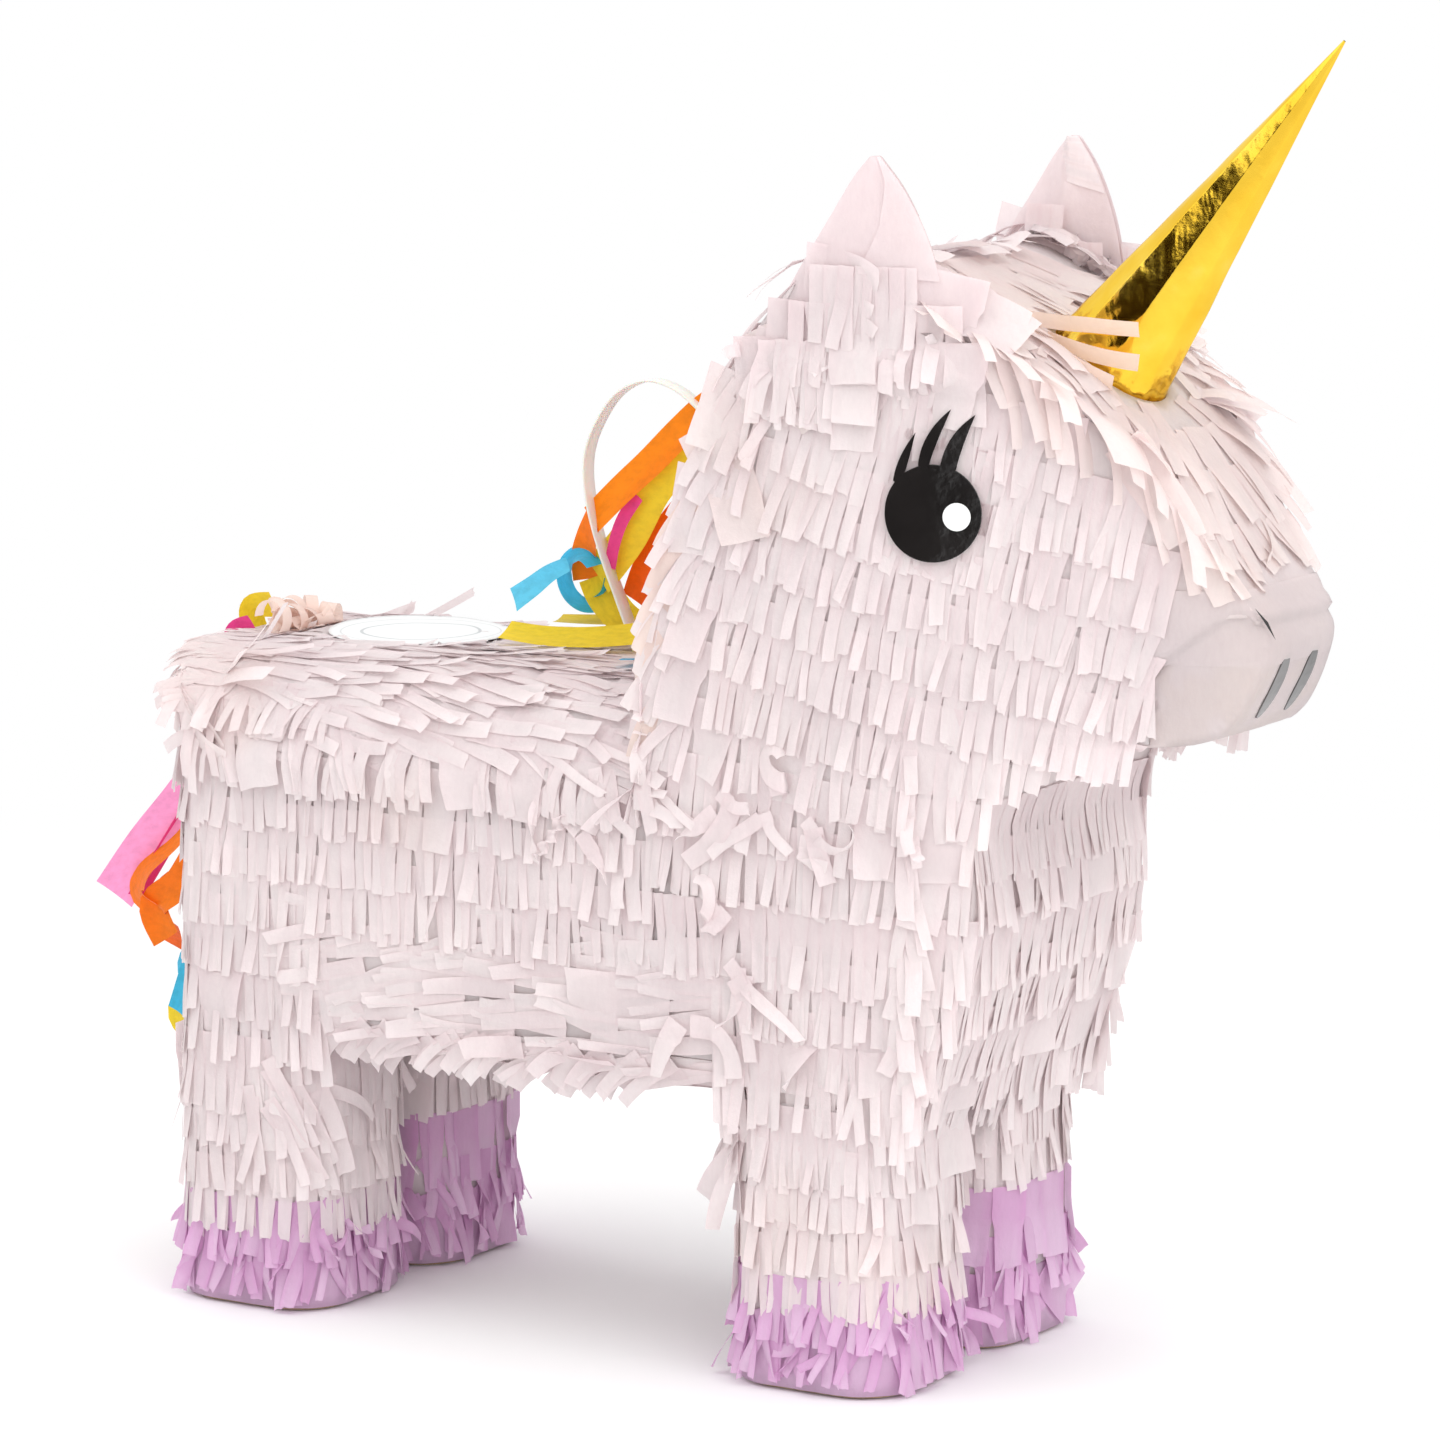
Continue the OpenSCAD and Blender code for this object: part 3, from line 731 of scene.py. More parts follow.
def neck_rows():
    """Rows round neck, cheeks and chest that dip towards the front."""
    for k in range(12):
        z = 222 + k * PITCH
        tilt = math.radians(min(14, 3 + 2.6 * k))
        ahead = Vector((math.cos(tilt), 0, -math.sin(tilt)))
        centre = at(135 + 3 * k, 0, z)
        cut = Cut(length=33, lift=3.5)

        def keep(place, node):
            x, height = (place.x - LEGS_MIDDLE) / MM, place.z / MM
            if node in ("snout_paper", "fringe_forehead", "fringe_back", "tail_tape"):
                return False
            if node.startswith("fringe_side"):
                return x > 52 and height < 250
            if node.startswith("fringe_cheek") and x > 262 and height < 312:
                return x < 268
            return x > 40
        hang_rows(TRUNK.ring(centre, ahead, LEFT, -180, 180), keep, DOWN, cut)


def ear_rows():
    """Fringe on the lower half of the ears, outside and inside, and on the crown between them."""
    for z, share in ((409, 1.0), (424, 1.0), (438, 0.78), (452, 0.6)):
        for side in (RIGHT, LEFT):
            for look, depth in ((-side, 2.4), (side, 6.0)):
                from_outside = look == -side
                if z > 450 and from_outside:
                    continue
                start = at(100, 0, z) - look * (140 * MM if from_outside else 0.0)
                run = []
                for k in range(round(36 * share)):
                    place, _, index, _ = TRUNK.tree.ray_cast(start + FORWARD * k * 3 * MM, look, 0.12)
                    if place is not None:
                        run.append((place, TRUNK.owner[index]))
                cut = Cut(length=32, lift=2, clear=depth + 1, base=depth + 0.8, lean_spread=5)
                hang_rows([run], lambda place, node: node.startswith(("ear", "fringe_neck")), DOWN, cut)
    crown = Cut(length=32, lift=1, lift_spread=2, lean_spread=8, wander=10, base=1.0, glued=0.4, uncut=0.6,
                ply=0.1)
    ahead = (FORWARD + DOWN * 0.2).normalized()
    for x, z in ((104, 402), (118, 417), (134, 431)):
        hang_rows(TRUNK.ring(at(x, 0, z - 60), LEFT, UP, 20, 160), lambda place, node: place.z > 395 * MM,
                  ahead, crown, lambda node: PIECES["fringe_crest"])


def crest_edge_rows():
    """Short tips that stand over the rear edges of neck and rump."""
    for side, name in ((RIGHT, "right"), (LEFT, "left")):
        for z in range(262, 396, 5):
            for inset in (7, 16):
                place = TRUNK.hit(at(-60, 76 * side.y, z), FORWARD, 0.3)
                if place is None:
                    continue
                beside = Vector((place.x + inset * MM, 140 * MM * side.y, z * MM))
                place = TRUNK.hit(beside, -side, 0.12)
                if place is None:
                    continue
                cut = Cut(length=26, glued=0.3, lift=1, lean_spread=5, clear=0.8, wild=0.02, base=1.0)
                way = (BACKWARD * rng.uniform(0.4, 0.7) + DOWN * 0.85).normalized()
                cut.stain = 0.3 if z < 350 and rng.random() < 0.2 else 0.0
                add_strip(PIECES["fringe_neck_" + name], TRUNK, place, way, cut, rng.uniform(4.5, 8) * MM)


def back_rows():
    """Rows across the back whose strips lie forwards along it, and the rows over its rear edges."""
    cut = Cut(length=42, spread=7, lift=1.2, lift_spread=2.0, lean_spread=7, wander=12, width=(4, 8),
              glued=0.4, turn_spread=9, clear=0.7, wild=0.0, curl=0, curl_spread=6, uncut=0.0,
              droop=0.0, ply=0.3)

    def fall(root):
        slope = max(0.0, (abs(root.y) - 40 * MM) / (40 * MM))
        return (FORWARD + DOWN * 0.25 * slope + Vector((0, math.copysign(0.10, root.y), 0))).normalized()

    def keep(place, node):
        return place.z > 236 * MM and node in ("fringe_back", "fringe_rump", "flap_tissue")
    for k in range(13):
        hang_rows(TRUNK.ring(at(-166 + k * 18, 0, 190), LEFT, UP, -20, 200), keep, fall, cut)
    edge = Cut(length=25, lift=1, lean_spread=12, glued=0.35, wild=0.0, uncut=0.0)
    for x in (-146, -155, -162):
        hang_rows(TRUNK.ring(at(x, 0, 190), LEFT, UP, 0, 180), lambda place, node: place.z > 238 * MM,
                  (BACKWARD + DOWN * 0.35).normalized(), edge, lambda node: PIECES["fringe_back"])
    rim = Cut(length=26, lift=4, lift_spread=5, lean_spread=12, wild=0.0, glued=0.3, uncut=0.0)
    hang_rows(TRUNK.ring(at(-20, 0, 257), BACKWARD, LEFT, -45, 45), lambda place, node: node != "tail_tape",
              DOWN, rim)


def belly_rows():
    """Upright rows on the flanks between the legs and under the belly, with strips that lie backwards."""
    cut = Cut(length=42, spread=6, lift=1, lift_spread=2.5, lean_spread=6, wander=12, clear=0.6, glued=0.45,
              shade=(0.0, 0.3), ply=0.25, uncut=0.03, width=(4, 8), droop=0.0)

    def fall(root):
        dip = 0.25 if root.z < 130 * MM else 0.0
        return (BACKWARD + DOWN * dip).normalized()
    for k in range(8):
        def keep(place, node):
            return place.z / MM < 168 + 5 * math.sin(k * 2.1) and not node.startswith("fringe_rump")
        hang_rows(TRUNK.ring(at(98 - k * 24, 0, 185), LEFT, DOWN, -12, 192), keep, fall, cut)


def belly_hem():
    """Slanting tips along the lower edges of the flanks between the legs."""
    hem = Cut(length=26, spread=3, glued=0.3, lift=1, lean_spread=10, width=(4, 9), uncut=0.1, clear=0.8,
              base=1.0)
    way = (BACKWARD * 0.9 + DOWN * 0.6).normalized()
    for side, name in ((RIGHT, "right"), (LEFT, "left")):
        for k in range(44):
            start = at(-88 + 3.9 * k, 0, 123 + 3 * math.sin(k * 1.7)) + side * 0.14
            place = TRUNK.hit(start, -side, 0.12)
            if place is not None:
                add_strip(PIECES["fringe_side_" + name], TRUNK, place, way, hem, rng.uniform(4, 9) * MM)


def front_edge_tips():
    """Tips that flare over the front corners of neck and chest."""
    tip = Cut(length=29, spread=4, glued=0.3, lift=10, lift_spread=8, lean_spread=10, turn_spread=18,
              clear=1.2, base=1.0, curl_spread=22, wild=0.05, droop=0.3)
    for side, name in ((RIGHT, "right"), (LEFT, "left")):
        for z in range(132, 262, 4):
            beside = at(215, 0, z) + side * 0.078
            place = TRUNK.hit(beside + FORWARD * 0.05, BACKWARD, 0.2)
            if place is not None:
                way = (DOWN + side * rng.uniform(0.05, 0.4) + FORWARD * 0.1).normalized()
                add_strip(PIECES["fringe_neck_" + name], TRUNK, place, way, tip, rng.uniform(4, 8) * MM)


def forehead_rows():
    """Rows across the forehead whose long strips flow forwards and spill over its edges."""
    brow = [(148, 431, 70), (158, 428, 60), (168, 425, 46), (180, 420, 40), (192, 413, 36), (204, 407, 36),
            (216, 400, 36), (230, 391, 36), (240, 381, 40), (250, 370, 42), (262, 357, 50), (275, 338, 56)]
    for x, z, steep in brow:
        slope = math.radians(steep - 8)
        out = Vector((math.sin(slope), 0, math.cos(slope)))
        flow = Vector((math.cos(slope), 0, -math.sin(slope)))
        lift = 5 if z > 380 else 2.5
        length, spread = (44, 6) if z > 350 else (22, 3)
        cut = Cut(length=length, spread=spread, lift=lift, lift_spread=lift, lean_spread=7, wander=8,
                  width=(5, 10.5), glued=0.35, uncut=0.1, turn_spread=10, twist_spread=12, curl_spread=10,
                  droop=0.1, steps=11, stain=0.1, shade=(0.0, 0.25), ply=0.15)

        def fall(root):
            spill = 0.85 * root.y / (60 * MM)
            return (flow + Vector((0, spill, 0)) - UP * 0.12 * abs(spill)).normalized()

        def keep(place, node):
            return node.startswith(("fringe_forehead", "fringe_crest"))
        if x < 164:
            cut.uncut, cut.lift, cut.lift_spread = 0.5, 1, 1
        hang_rows(TRUNK.ring(at(x, 0, z) - out * 0.1, LEFT, out, 0, 180), keep, fall, cut,
                  keep_root=lambda root: not in_horn(root))


def leg_rows():
    """Rows round the legs: pink down to the hooves, then lilac."""
    for front, side in LEG_NAMES:
        name = front + "_" + side
        skin = Skin(["fringe_leg_" + name, "fringe_hoof_" + name])
        axis = middle("leg_tube_" + name)
        high_hoof = side == "left"
        for z in (134, 116, 98) if high_hoof else (134, 116, 98, 80, 62):
            cut = Cut(length=32, lift=4, glued=0.5) if z > 118 else Cut(length=32, lift=4, wild=0.04)
            centre = Vector((axis.x, axis.y, min(z, 113) * MM))

            def keep(place, node, z=z):
                outer = abs(place.y) > abs(axis.y) + 20 * MM
                return z < 120 or outer
            for run in split_run(skin.ring(centre, FORWARD, LEFT, -180, 180, 0.09), keep):
                hang_row(skin, run, DOWN, cut, lambda node: PIECES["fringe_leg_" + name])
        for z, length in ((66, 32), (46, 27), (31, 28)) if high_hoof else ((46, 27), (31, 28)):
            cut = Cut(length=length, spread=1.5, lift=7, lift_spread=6, lean_spread=16, wander=16,
                      turn_spread=20, twist_spread=25, ply=0.6, wild=0.12, glued=0.35, shade=(0.0, 0.7),
                      width=(3.5, 7), uncut=0.01)
            if z > 50:
                cut = Cut(length=length, uncut=0.5, lean_spread=3)
            for run in skin.ring(Vector((axis.x, axis.y, z * MM)), FORWARD, LEFT, -180, 180, 0.09):
                hang_row(skin, run, DOWN, cut, lambda node: PIECES["fringe_hoof_" + name])


def flap_rows():
    """Pressed tissue on the fill flap."""
    low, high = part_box("flap_tissue")
    cut = Cut(length=26, lift=1, lift_spread=2, clear=0.2, base=0.2, uncut=0.2, wild=0.0)
    for k in range(5):
        x = low.x + (k * 14 - 2) * MM
        run = [(Vector((x, low.y + (high.y - low.y) * j / 20, high.z)), "flap_tissue") for j in range(21)]
        hang_row(TRUNK, run, FORWARD, cut, piece_of)


def add_surface(piece, node, cell, rounds, offset, shade, even=False):
    """Adds the CAD node's surface to piece, cut into cells and moved out by offset(place)."""
    mesh = bmesh.new()
    mesh.from_mesh(nodes[node].data)
    bmesh.ops.remove_doubles(mesh, verts=mesh.verts, dist=0.01 * MM)
    for k in range(rounds):
        long_edges = [e for e in mesh.edges if e.calc_length() > cell * MM]
        bmesh.ops.subdivide_edges(mesh, edges=long_edges, cuts=1)
        if even or k == rounds - 1:
            bmesh.ops.triangulate(mesh, faces=mesh.faces)
    mesh.normal_update()
    start = len(piece.points)
    for v in mesh.verts:
        piece.points.append(v.co + v.normal * (offset(v.co) * MM))
        piece.shade.append(shade(v.co))
        piece.stain.append(0.0)
    for face in mesh.faces:
        piece.faces.append(tuple(start + v.index for v in face.verts))
    mesh.free()


def add_under_layer(piece, node):
    """The glued sheet under the strips: the CAD skin, sunk a little and wrinkled, painted a deeper pink as
    the shade seen in the gaps between strips, varying at random.
    """
    # Painted shade: the under layer's shade sits above most strips' shade, so the gaps between strips show
    # deeper pink.
    add_surface(piece, node, 14, 4, lambda p: -(0.3 + 0.3 * noise.noise(p * 90)),
                lambda p: 0.35 + 0.3 * noise.noise(p * 30))


def add_crumpled(piece, node, depth):
    """The CAD skin, wrinkled by hand."""
    add_surface(piece, node, 5, 6, lambda p: (noise.noise(p * 55) + 0.5 * noise.noise(p * 160)) * depth,
                lambda p: 0.3 + 0.3 * noise.noise(p * 40), even=True)


def make_fringe():
    for node in SKIN_NODES:
        add_under_layer(PIECES[node], node)
    flank_rows()
    neck_rows()
    ear_rows()
    crest_edge_rows()
    back_rows()
    belly_rows()
    belly_hem()
    front_edge_tips()
    forehead_rows()
    leg_rows()
    flap_rows()
    loose_strips()
    add_ears()
    horn_fingers()
    for piece in PIECES.values():
        if piece.faces:
            piece.make()


# ---- loose strips, curls and knots ----


def scatter(skin, piece, low, high, count, ray, cut, way=DOWN):
    """Glues count loose strips inside a box of places, found by rays along ray."""
    for _ in range(count):
        start = at(*(rng.uniform(a, b) for a, b in zip(low, high))) - ray * 0.15
        place = skin.hit(start, ray, 0.3)
        if place is not None:
            add_strip(piece, skin, place, way, cut, rng.uniform(5, 9) * MM)


def loose_strips():
    curly = Cut(length=34, spread=8, glued=0.2, lift=22, lift_spread=22, lean_spread=42, wander=30,
                curl_spread=70, turn_spread=40, twist_spread=60, clear=3, base=3, steps=14, wild=0.2)
    strand = Cut(length=34, spread=8, glued=0.15, lift=14, lift_spread=10, lean=-32, lean_spread=16,
                 curl_spread=30, turn_spread=25, twist_spread=50, clear=3, base=2, steps=14)
    upper = Cut(length=19, spread=4, glued=0.2, lift=20, lift_spread=25, lean_spread=35, curl_spread=60,
                twist_spread=60, clear=3, base=2, steps=12)
    for side in ("right", "left"):
        inwards = LEFT if side == "right" else RIGHT
        y = -60 if side == "right" else 60
        neck, flank = PIECES["fringe_neck_" + side], PIECES["fringe_side_" + side]
        scatter(TRUNK, neck, (96, y, 205), (140, y, 240), 9, inwards, curly)
        scatter(TRUNK, neck, (78, y, 140), (110, y, 205), 8, inwards, curly)
        scatter(TRUNK, flank, (20, y, 205), (66, y, 245), 6, inwards, curly)
        scatter(TRUNK, neck, (84, y, 398), (108, y, 418), 5, inwards, upper, BACKWARD)
        leg = Skin(["fringe_leg_front_" + side])
        scatter(leg, PIECES["fringe_leg_front_" + side], (100, y, 92), (106, y, 112), 7, inwards, strand)
        thigh = Skin(["fringe_leg_rear_" + side])
        lean = Cut(length=38, lift=6, lean=22, lean_spread=12, clear=2.5, base=2, wild=0.1)
        scatter(thigh, PIECES["fringe_leg_rear_" + side], (-128, y, 85), (-100, y, 112), 12, inwards, lean)
    curl = Cut(length=30, spread=6, glued=0.1, lift=45, lift_spread=20, lean_spread=90, curl=230,
               curl_spread=80, twist_spread=50, clear=2, base=1, steps=18, stain=0.4)
    scatter(TRUNK, PIECES["fringe_back"], (-160, -30, 262), (-145, 14, 262), 16, DOWN, curl, FORWARD)


# ---- curves and surfaces ----


def smooth_path(points, steps):
    """Points along a smooth curve through the given ones."""
    out = []
    for i in range(len(points) - 1):
        a, b = points[max(i - 1, 0)], points[i]
        c, d = points[i + 1], points[min(i + 2, len(points) - 1)]
        for k in range(steps):
            t = k / steps
            out.append(0.5 * (2 * b + (c - a) * t + (2 * a - 5 * b + 4 * c - d) * t ** 2
                              + (3 * b - a - 3 * c + d) * t ** 3))
    return out + [points[-1].copy()]


def heading(path, k):
    """The direction of path at its place k."""
    return (path[min(k + 1, len(path) - 1)] - path[max(k - 1, 0)]).normalized()


HALF_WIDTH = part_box("fringe_side_left")[1].y / MM
BEND_X, BEND_RADIUS, CHEEK_ANGLE = 148, 113, math.radians(21.5)


def flank_plan(x):
    """How far out the head's tissue reaches at x, and the angle its surface has turned by."""
    centre = HALF_WIDTH - BEND_RADIUS
    if x <= BEND_X:
        return HALF_WIDTH, 0.0
    straight = BEND_X + BEND_RADIUS * math.sin(CHEEK_ANGLE)
    if x < straight:
        turned = math.asin((x - BEND_X) / BEND_RADIUS)
        return centre + BEND_RADIUS * math.cos(turned), turned
    return centre + BEND_RADIUS * math.cos(CHEEK_ANGLE) - (x - straight) * math.tan(CHEEK_ANGLE), CHEEK_ANGLE


def on_flank(x, z, height, side):
    """The place at x and z, height outside the tissue of the right (-1) or left (1) flank."""
    y, turned = flank_plan(x)
    return at(x + height * math.sin(turned), side * (y + height * math.cos(turned)), z)


# ---- ears ----

EAR_BACK = [Vector(p) for p in ((108, 396), (127, 430), (144, 456), (154, 471), (161, 479))]
EAR_FRONT = [Vector(p) for p in ((194, 396), (189, 427), (184, 447), (175, 466), (165, 479))]


def along_edge(edge, t):
    return smooth_path([p.to_3d() for p in edge], 8)[round(t * 8 * (len(edge) - 1))]


def ear_sheet(piece, side, height_at, shade, start=None, low=0.0):
    """A sheet over one ear, outlined by its edges. start(t) is where it begins, from 0 at the back to 1."""
    rows, across = [], 12
    seed = 5.0 if start else 0.0
    for k in range(21):
        t = low + (1 - low) * k / 20
        back, front = along_edge(EAR_BACK, t), along_edge(EAR_FRONT, t)
        first = start(t) if start else 0.0
        row = []
        for i in range(across + 1):
            s = first + (1.0 - first) * i / across
            p = back.lerp(front, s)
            crinkle = noise.noise(Vector((p.x * 0.09, p.y * 0.05, side * 3 + seed))) * 1.3
            row.append(on_flank(p.x, p.y, height_at(s, t) + crinkle * 4 * s * (1 - s), side))
        rows.append(row)
    piece.grid(rows, shade)


def add_ears():
    """Each ear: a smooth wrapped outer sheet with a folded flap, and a creased inner sheet."""
    def outer(s, t):
        return -1.2 + 2.6 * max(0.0, 4 * s * (1 - s)) ** 0.7 * (1 - 0.5 * t)

    def inner(s, t):
        return -2.2 - 7.5 * (1 - abs(2 * s - 0.9) / 1.1) * (1 - 0.55 * t)
    for side, name in ((-1, "right"), (1, "left")):
        piece = PIECES["ear_" + name]
        # Painted shade: the ear sheets get high shade values, which darken the smooth ears where they face
        # the light more squarely than the fringe.
        ear_sheet(piece, side, outer, 0.9)
        ear_sheet(piece, side, inner, 0.7)
        ear_sheet(piece, side, lambda s, t: outer(s, t) + 0.9, 0.7, lambda t: 0.42 + 0.4 * t * t, 0.3)
        ear_sheet(piece, side, lambda s, t: inner(s, t) - 0.9, 0.35, lambda t: 0.15 + 0.5 * (1 - t), 0.62)


# ---- horn ----


def add_horn():
    """Foil rolled into a cone: soft lengthways facets, dents, a lapped seam and a crushed foot."""
    piece = Piece("foil_horn", "gold_foil", "carcass", ("horn_cone",))
    e1 = HORN_WAY.cross(LEFT).normalized()
    around, up = 144, 110
    facet = math.radians(45)
    foot = 0.12
    rows = []
    for k in range(up + 1):
        v = -0.09 + 1.09 * k / up
        over = max(v, 0)
        row = []
        for i in range(around):
            angle = 2 * math.pi * i / around
            turn = (angle - 0.455 - 0.26 * v) % facet - facet / 2
            flat = math.cos(facet / 2) / math.cos(turn)
            radius = 24.5 * (1 - v) + 0.5 * over
            radius *= 1 + 0.62 * (flat - 1)
            way = e1 * math.cos(angle) + LEFT * math.sin(angle)
            spot = HORN_WAY * (v * 4.0) + way * (0.9 - 0.4 * over)
            dents = noise.noise(spot * 1.6) * 0.42 + noise.noise(spot * 4.5) * 0.09
            crushed = max(0.0, 1 - over / foot)
            dents += crushed * noise.noise(spot * 7) * 0.7
            fade = 0.12 + 0.88 * (1 - over)
            if 2.2 < angle < 2.32:
                dents += 0.5
            row.append(HORN_FOOT + HORN_WAY * v * HORN_LENGTH + way * (radius + dents * fade) * MM)
        rows.append(row)
    piece.grid(rows, 0.5, closed=True)
    piece.make()


def free_sheet(piece, path, width, sideways, shade, stain, wave):
    """A gently crowned strip of paper along path."""
    rows, columns = [], 4
    for k, spot in enumerate(path):
        onward = heading(path, k)
        side = (sideways - onward * sideways.dot(onward)).normalized()
        up = onward.cross(side)
        rows.append([spot + side * (width / 2) * (2 * i / columns - 1)
                     + up * wave * (1 - (2 * i / columns - 1) ** 2) for i in range(columns + 1)])
    piece.grid(rows, shade, stain)


def horn_fingers():
    """Strips round the horn's foot, and peach ones that lie over it."""
    piece = PIECES["fringe_forehead"]
    e1 = HORN_WAY.cross(LEFT).normalized()
    collar = Cut(length=27, spread=4, glued=0.25, lift=3, lift_spread=4, lean_spread=12, clear=1.0,
                 base=0.8, shade=(0.0, 0.3), stain=0.15)
    for k in range(52):
        angle = math.radians(360 * k / 52)
        outward = e1 * math.cos(angle) + LEFT * math.sin(angle)
        place = TRUNK.nearest(HORN_FOOT + outward * (HORN_RADIUS + rng.uniform(1.6, 5) * MM))[0]
        way = outward + (FORWARD * 0.8 + DOWN * 0.6) * 0.9
        if outward.dot(FORWARD) > -0.5:
            add_strip(piece, TRUNK, place, way.normalized(), collar, rng.uniform(4, 8) * MM)
    tuft = Cut(length=20, spread=4, glued=0.2, lift=16, lift_spread=8, lean_spread=12, clear=3, base=1.5,
               steps=12, curl=20, curl_spread=20)
    for k in range(9):
        place = TRUNK.nearest(at(236 + 1.5 * k, 24 + 2 * k, 384))[0]
        add_strip(piece, TRUNK, place, (FORWARD + LEFT * 0.2).normalized(), tuft, rng.uniform(6, 11) * MM)
    for route, width in (
        ([(196, -22, 416), (212, -25, 415), (226, -28.5, 415), (238, -29, 414.5), (247, -27, 414)], 7.5),
        ([(208, -24, 408), (220, -29, 406), (231, -31, 404), (240, -30, 402.5), (247, -27, 401.5)], 8.5),
        ([(200, -28, 411), (214, -33, 405), (228, -35, 399), (240, -34, 394)], 8.0),
    ):
        path = smooth_path([at(*p) for p in route], 5)
        free_sheet(piece, path, width * MM, Vector((0.15, -0.55, 0.8)), 0.0, 0.42, 0.6 * MM)


# ---- stickers ----

GLINT_X, GLINT_Z, GLINT_RADIUS = 8.6, -1.1, 5.3
EYE_X = middle("eye_glints").x / MM - LEGS_MIDDLE / MM - GLINT_X
EYE_Z = middle("eye_glints").z / MM - GLINT_Z
EYE_RADIUS = 18.5
EYE_HEIGHT, LASH_HEIGHT, GLINT_HEIGHT = 2.5, 2.55, 2.85
LASHES = (  # foot, knee, tip and heel of each lash, measured from the middle of the eye
    ((-14.3, 11), (-13.6, 20), (-6, 30.5), (-10.2, 14.5)),
    ((-5.2, 17), (-4.5, 30), (6.5, 39.5), (-1.2, 18)),
    ((2.6, 17.5), (4.5, 30), (15, 37.5), (8.2, 16)),
)


def flank_disc(piece, x, z, radius, height, side):
    rows = []
    slant = math.cos(flank_plan(x)[1])
    for k in range(13):
        r = min(radius * k / 10, radius - 0.2) if k < 11 else radius
        row = []
        for i in range(72):
            a = 2 * math.pi * i / 72
            px, pz = x + r * math.cos(a) * slant, z + r * math.sin(a)
            wave = 0.22 * noise.noise(Vector((px * 0.05, pz * 0.05, side)))
            lift = height + wave - (0.6 if k == 12 else 0.0)
            row.append(on_flank(px, pz, lift, side))
        rows.append(row)
    piece.grid(rows, 0.5, closed=True)


def bend(a, b, c, t):
    return (1 - t) * (1 - t) * a + 2 * t * (1 - t) * b + t * t * c


def add_lash(eye, lash, side):
    foot, knee, tip, heel = (Vector(p) for p in lash)
    inner_knee = (knee + heel) / 2 + Vector((3, 0))
    rows = []
    for k in range(17):
        t = k / 16
        left, right = bend(foot, knee, tip, t), bend(heel, inner_knee, tip, t)
        if k == 0:
            left, right = left * 0.8, right * 0.8
        across = [left.lerp(right, j / 3) for j in range(4)]
        rows.append([on_flank(EYE_X + p.x, EYE_Z + p.y, LASH_HEIGHT, side) for p in across])
    eye.grid(rows, 0.5)


def add_eyes():
    for side, name in ((-1, "right"), (1, "left")):
        eye = Piece("eye_" + name, "black_sticker", "carcass", ("eye_sticker_" + name,))
        flank_disc(eye, EYE_X, EYE_Z, EYE_RADIUS, EYE_HEIGHT, side)
        for lash in LASHES:
            add_lash(eye, lash, side)
        eye.make()
    glints = Piece("eye_white_dots", "white_sticker", "carcass", ("eye_glints",))
    for side in (-1, 1):
        flank_disc(glints, EYE_X + GLINT_X, EYE_Z + GLINT_Z, GLINT_RADIUS, GLINT_HEIGHT, side)
    glints.make()


def add_label():
    """The round seal, slightly wavy, with one lifted edge."""
    low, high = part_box("seal_label")
    centre, radius = (low + high) / 2, (high.x - low.x) / 2
    label = Piece("seal_sticker", "label_paper", "flap", ("seal_label",))
    rows, shades = [], []
    for k in range(18):
        r = min(k, 16) / 16
        row = []
        for i in range(96):
            a = 2 * math.pi * i / 96
            wave = 0.5 * noise.noise(Vector((math.cos(a) * r * 2, math.sin(a) * r * 2, 4)))
            edge = 1.6 * max(0, r - 0.8) / 0.2 * max(0, math.cos(a - 2.6))
            z = high.z + (wave * r + edge + 0.2) * MM - (0.3 * MM if k == 17 else 0)
            row.append(Vector((centre.x + radius * r * math.cos(a), centre.y + radius * r * math.sin(a), z)))
        rows.append(row)
        shades.append(r)
    label.grid(rows, shades, closed=True)
    label.make()


# ---- snout ----


def evenly(run, count):
    """count places, evenly spread along a run of places."""
    gone = [0.0]
    for a, b in zip(run, run[1:]):
        gone.append(gone[-1] + (b - a).length)
    out, k = [], 0
    for i in range(count):
        s = gone[-1] * i / (count - 1)
        while k < len(run) - 2 and gone[k + 1] < s:
            k += 1
        out.append(run[k].lerp(run[k + 1], (s - gone[k]) / max(1e-9, gone[k + 1] - gone[k])))
    return out


def add_snout():
    """The snout's smooth wrap, with a band of paper over the joint with the fringe, and a black sheet as
    painted shadow inside a slit in the paper.
    """
    piece = Piece("snout_wrap", "snout_paper", "carcass", ("snout_paper",))
    add_crumpled(piece, "snout_paper", 0.35)
    rows = []
    for k in range(12):
        runs = TRUNK.ring(at(200, 0, 290 + 2.6 * k), FORWARD, LEFT, -38, 38)
        row = []
        for spot in evenly([place for place, _ in runs[0]], 60):
            away = (spot - at(200, 0, spot.z / MM)).normalized()
            row.append(spot + away * (0.55 + 0.45 * noise.noise(spot * 70) - (0.5 if k == 0 else 0.0)) * MM)
        rows.append(row)
    piece.grid(rows, 0.25)
    piece.make()
    # Painted shadow: a black sheet stands for the dark inside of the slit in the snout paper.
    slit_shadow = Piece("snout_slit", "black_sticker", "carcass")
    for x, y, z in ((301.6, -35, 314), (303.6, -33.9, 309.4), (311, -30.2, 301.6), (308.8, -30.9, 307.4)):
        place, out, _ = TRUNK.outwards(at(x, y, z))
        slit_shadow.points.append(place + out * 2.6 * MM)
    slit_shadow.shade += [0.5] * 4
    slit_shadow.stain += [0.0] * 4
    slit_shadow.faces.append((0, 1, 2, 3))
    slit_shadow.make()


# ---- strap, mane and tail ----

STRAP_ROUTE = ((9, 256), (8, 272), (0, 292), (-8, 311), (-14, 331), (-15, 348), (-10, 362), (0, 375),
               (14, 381), (28, 378), (42, 368), (54, 356), (66, 347), (80, 340), (90, 336))


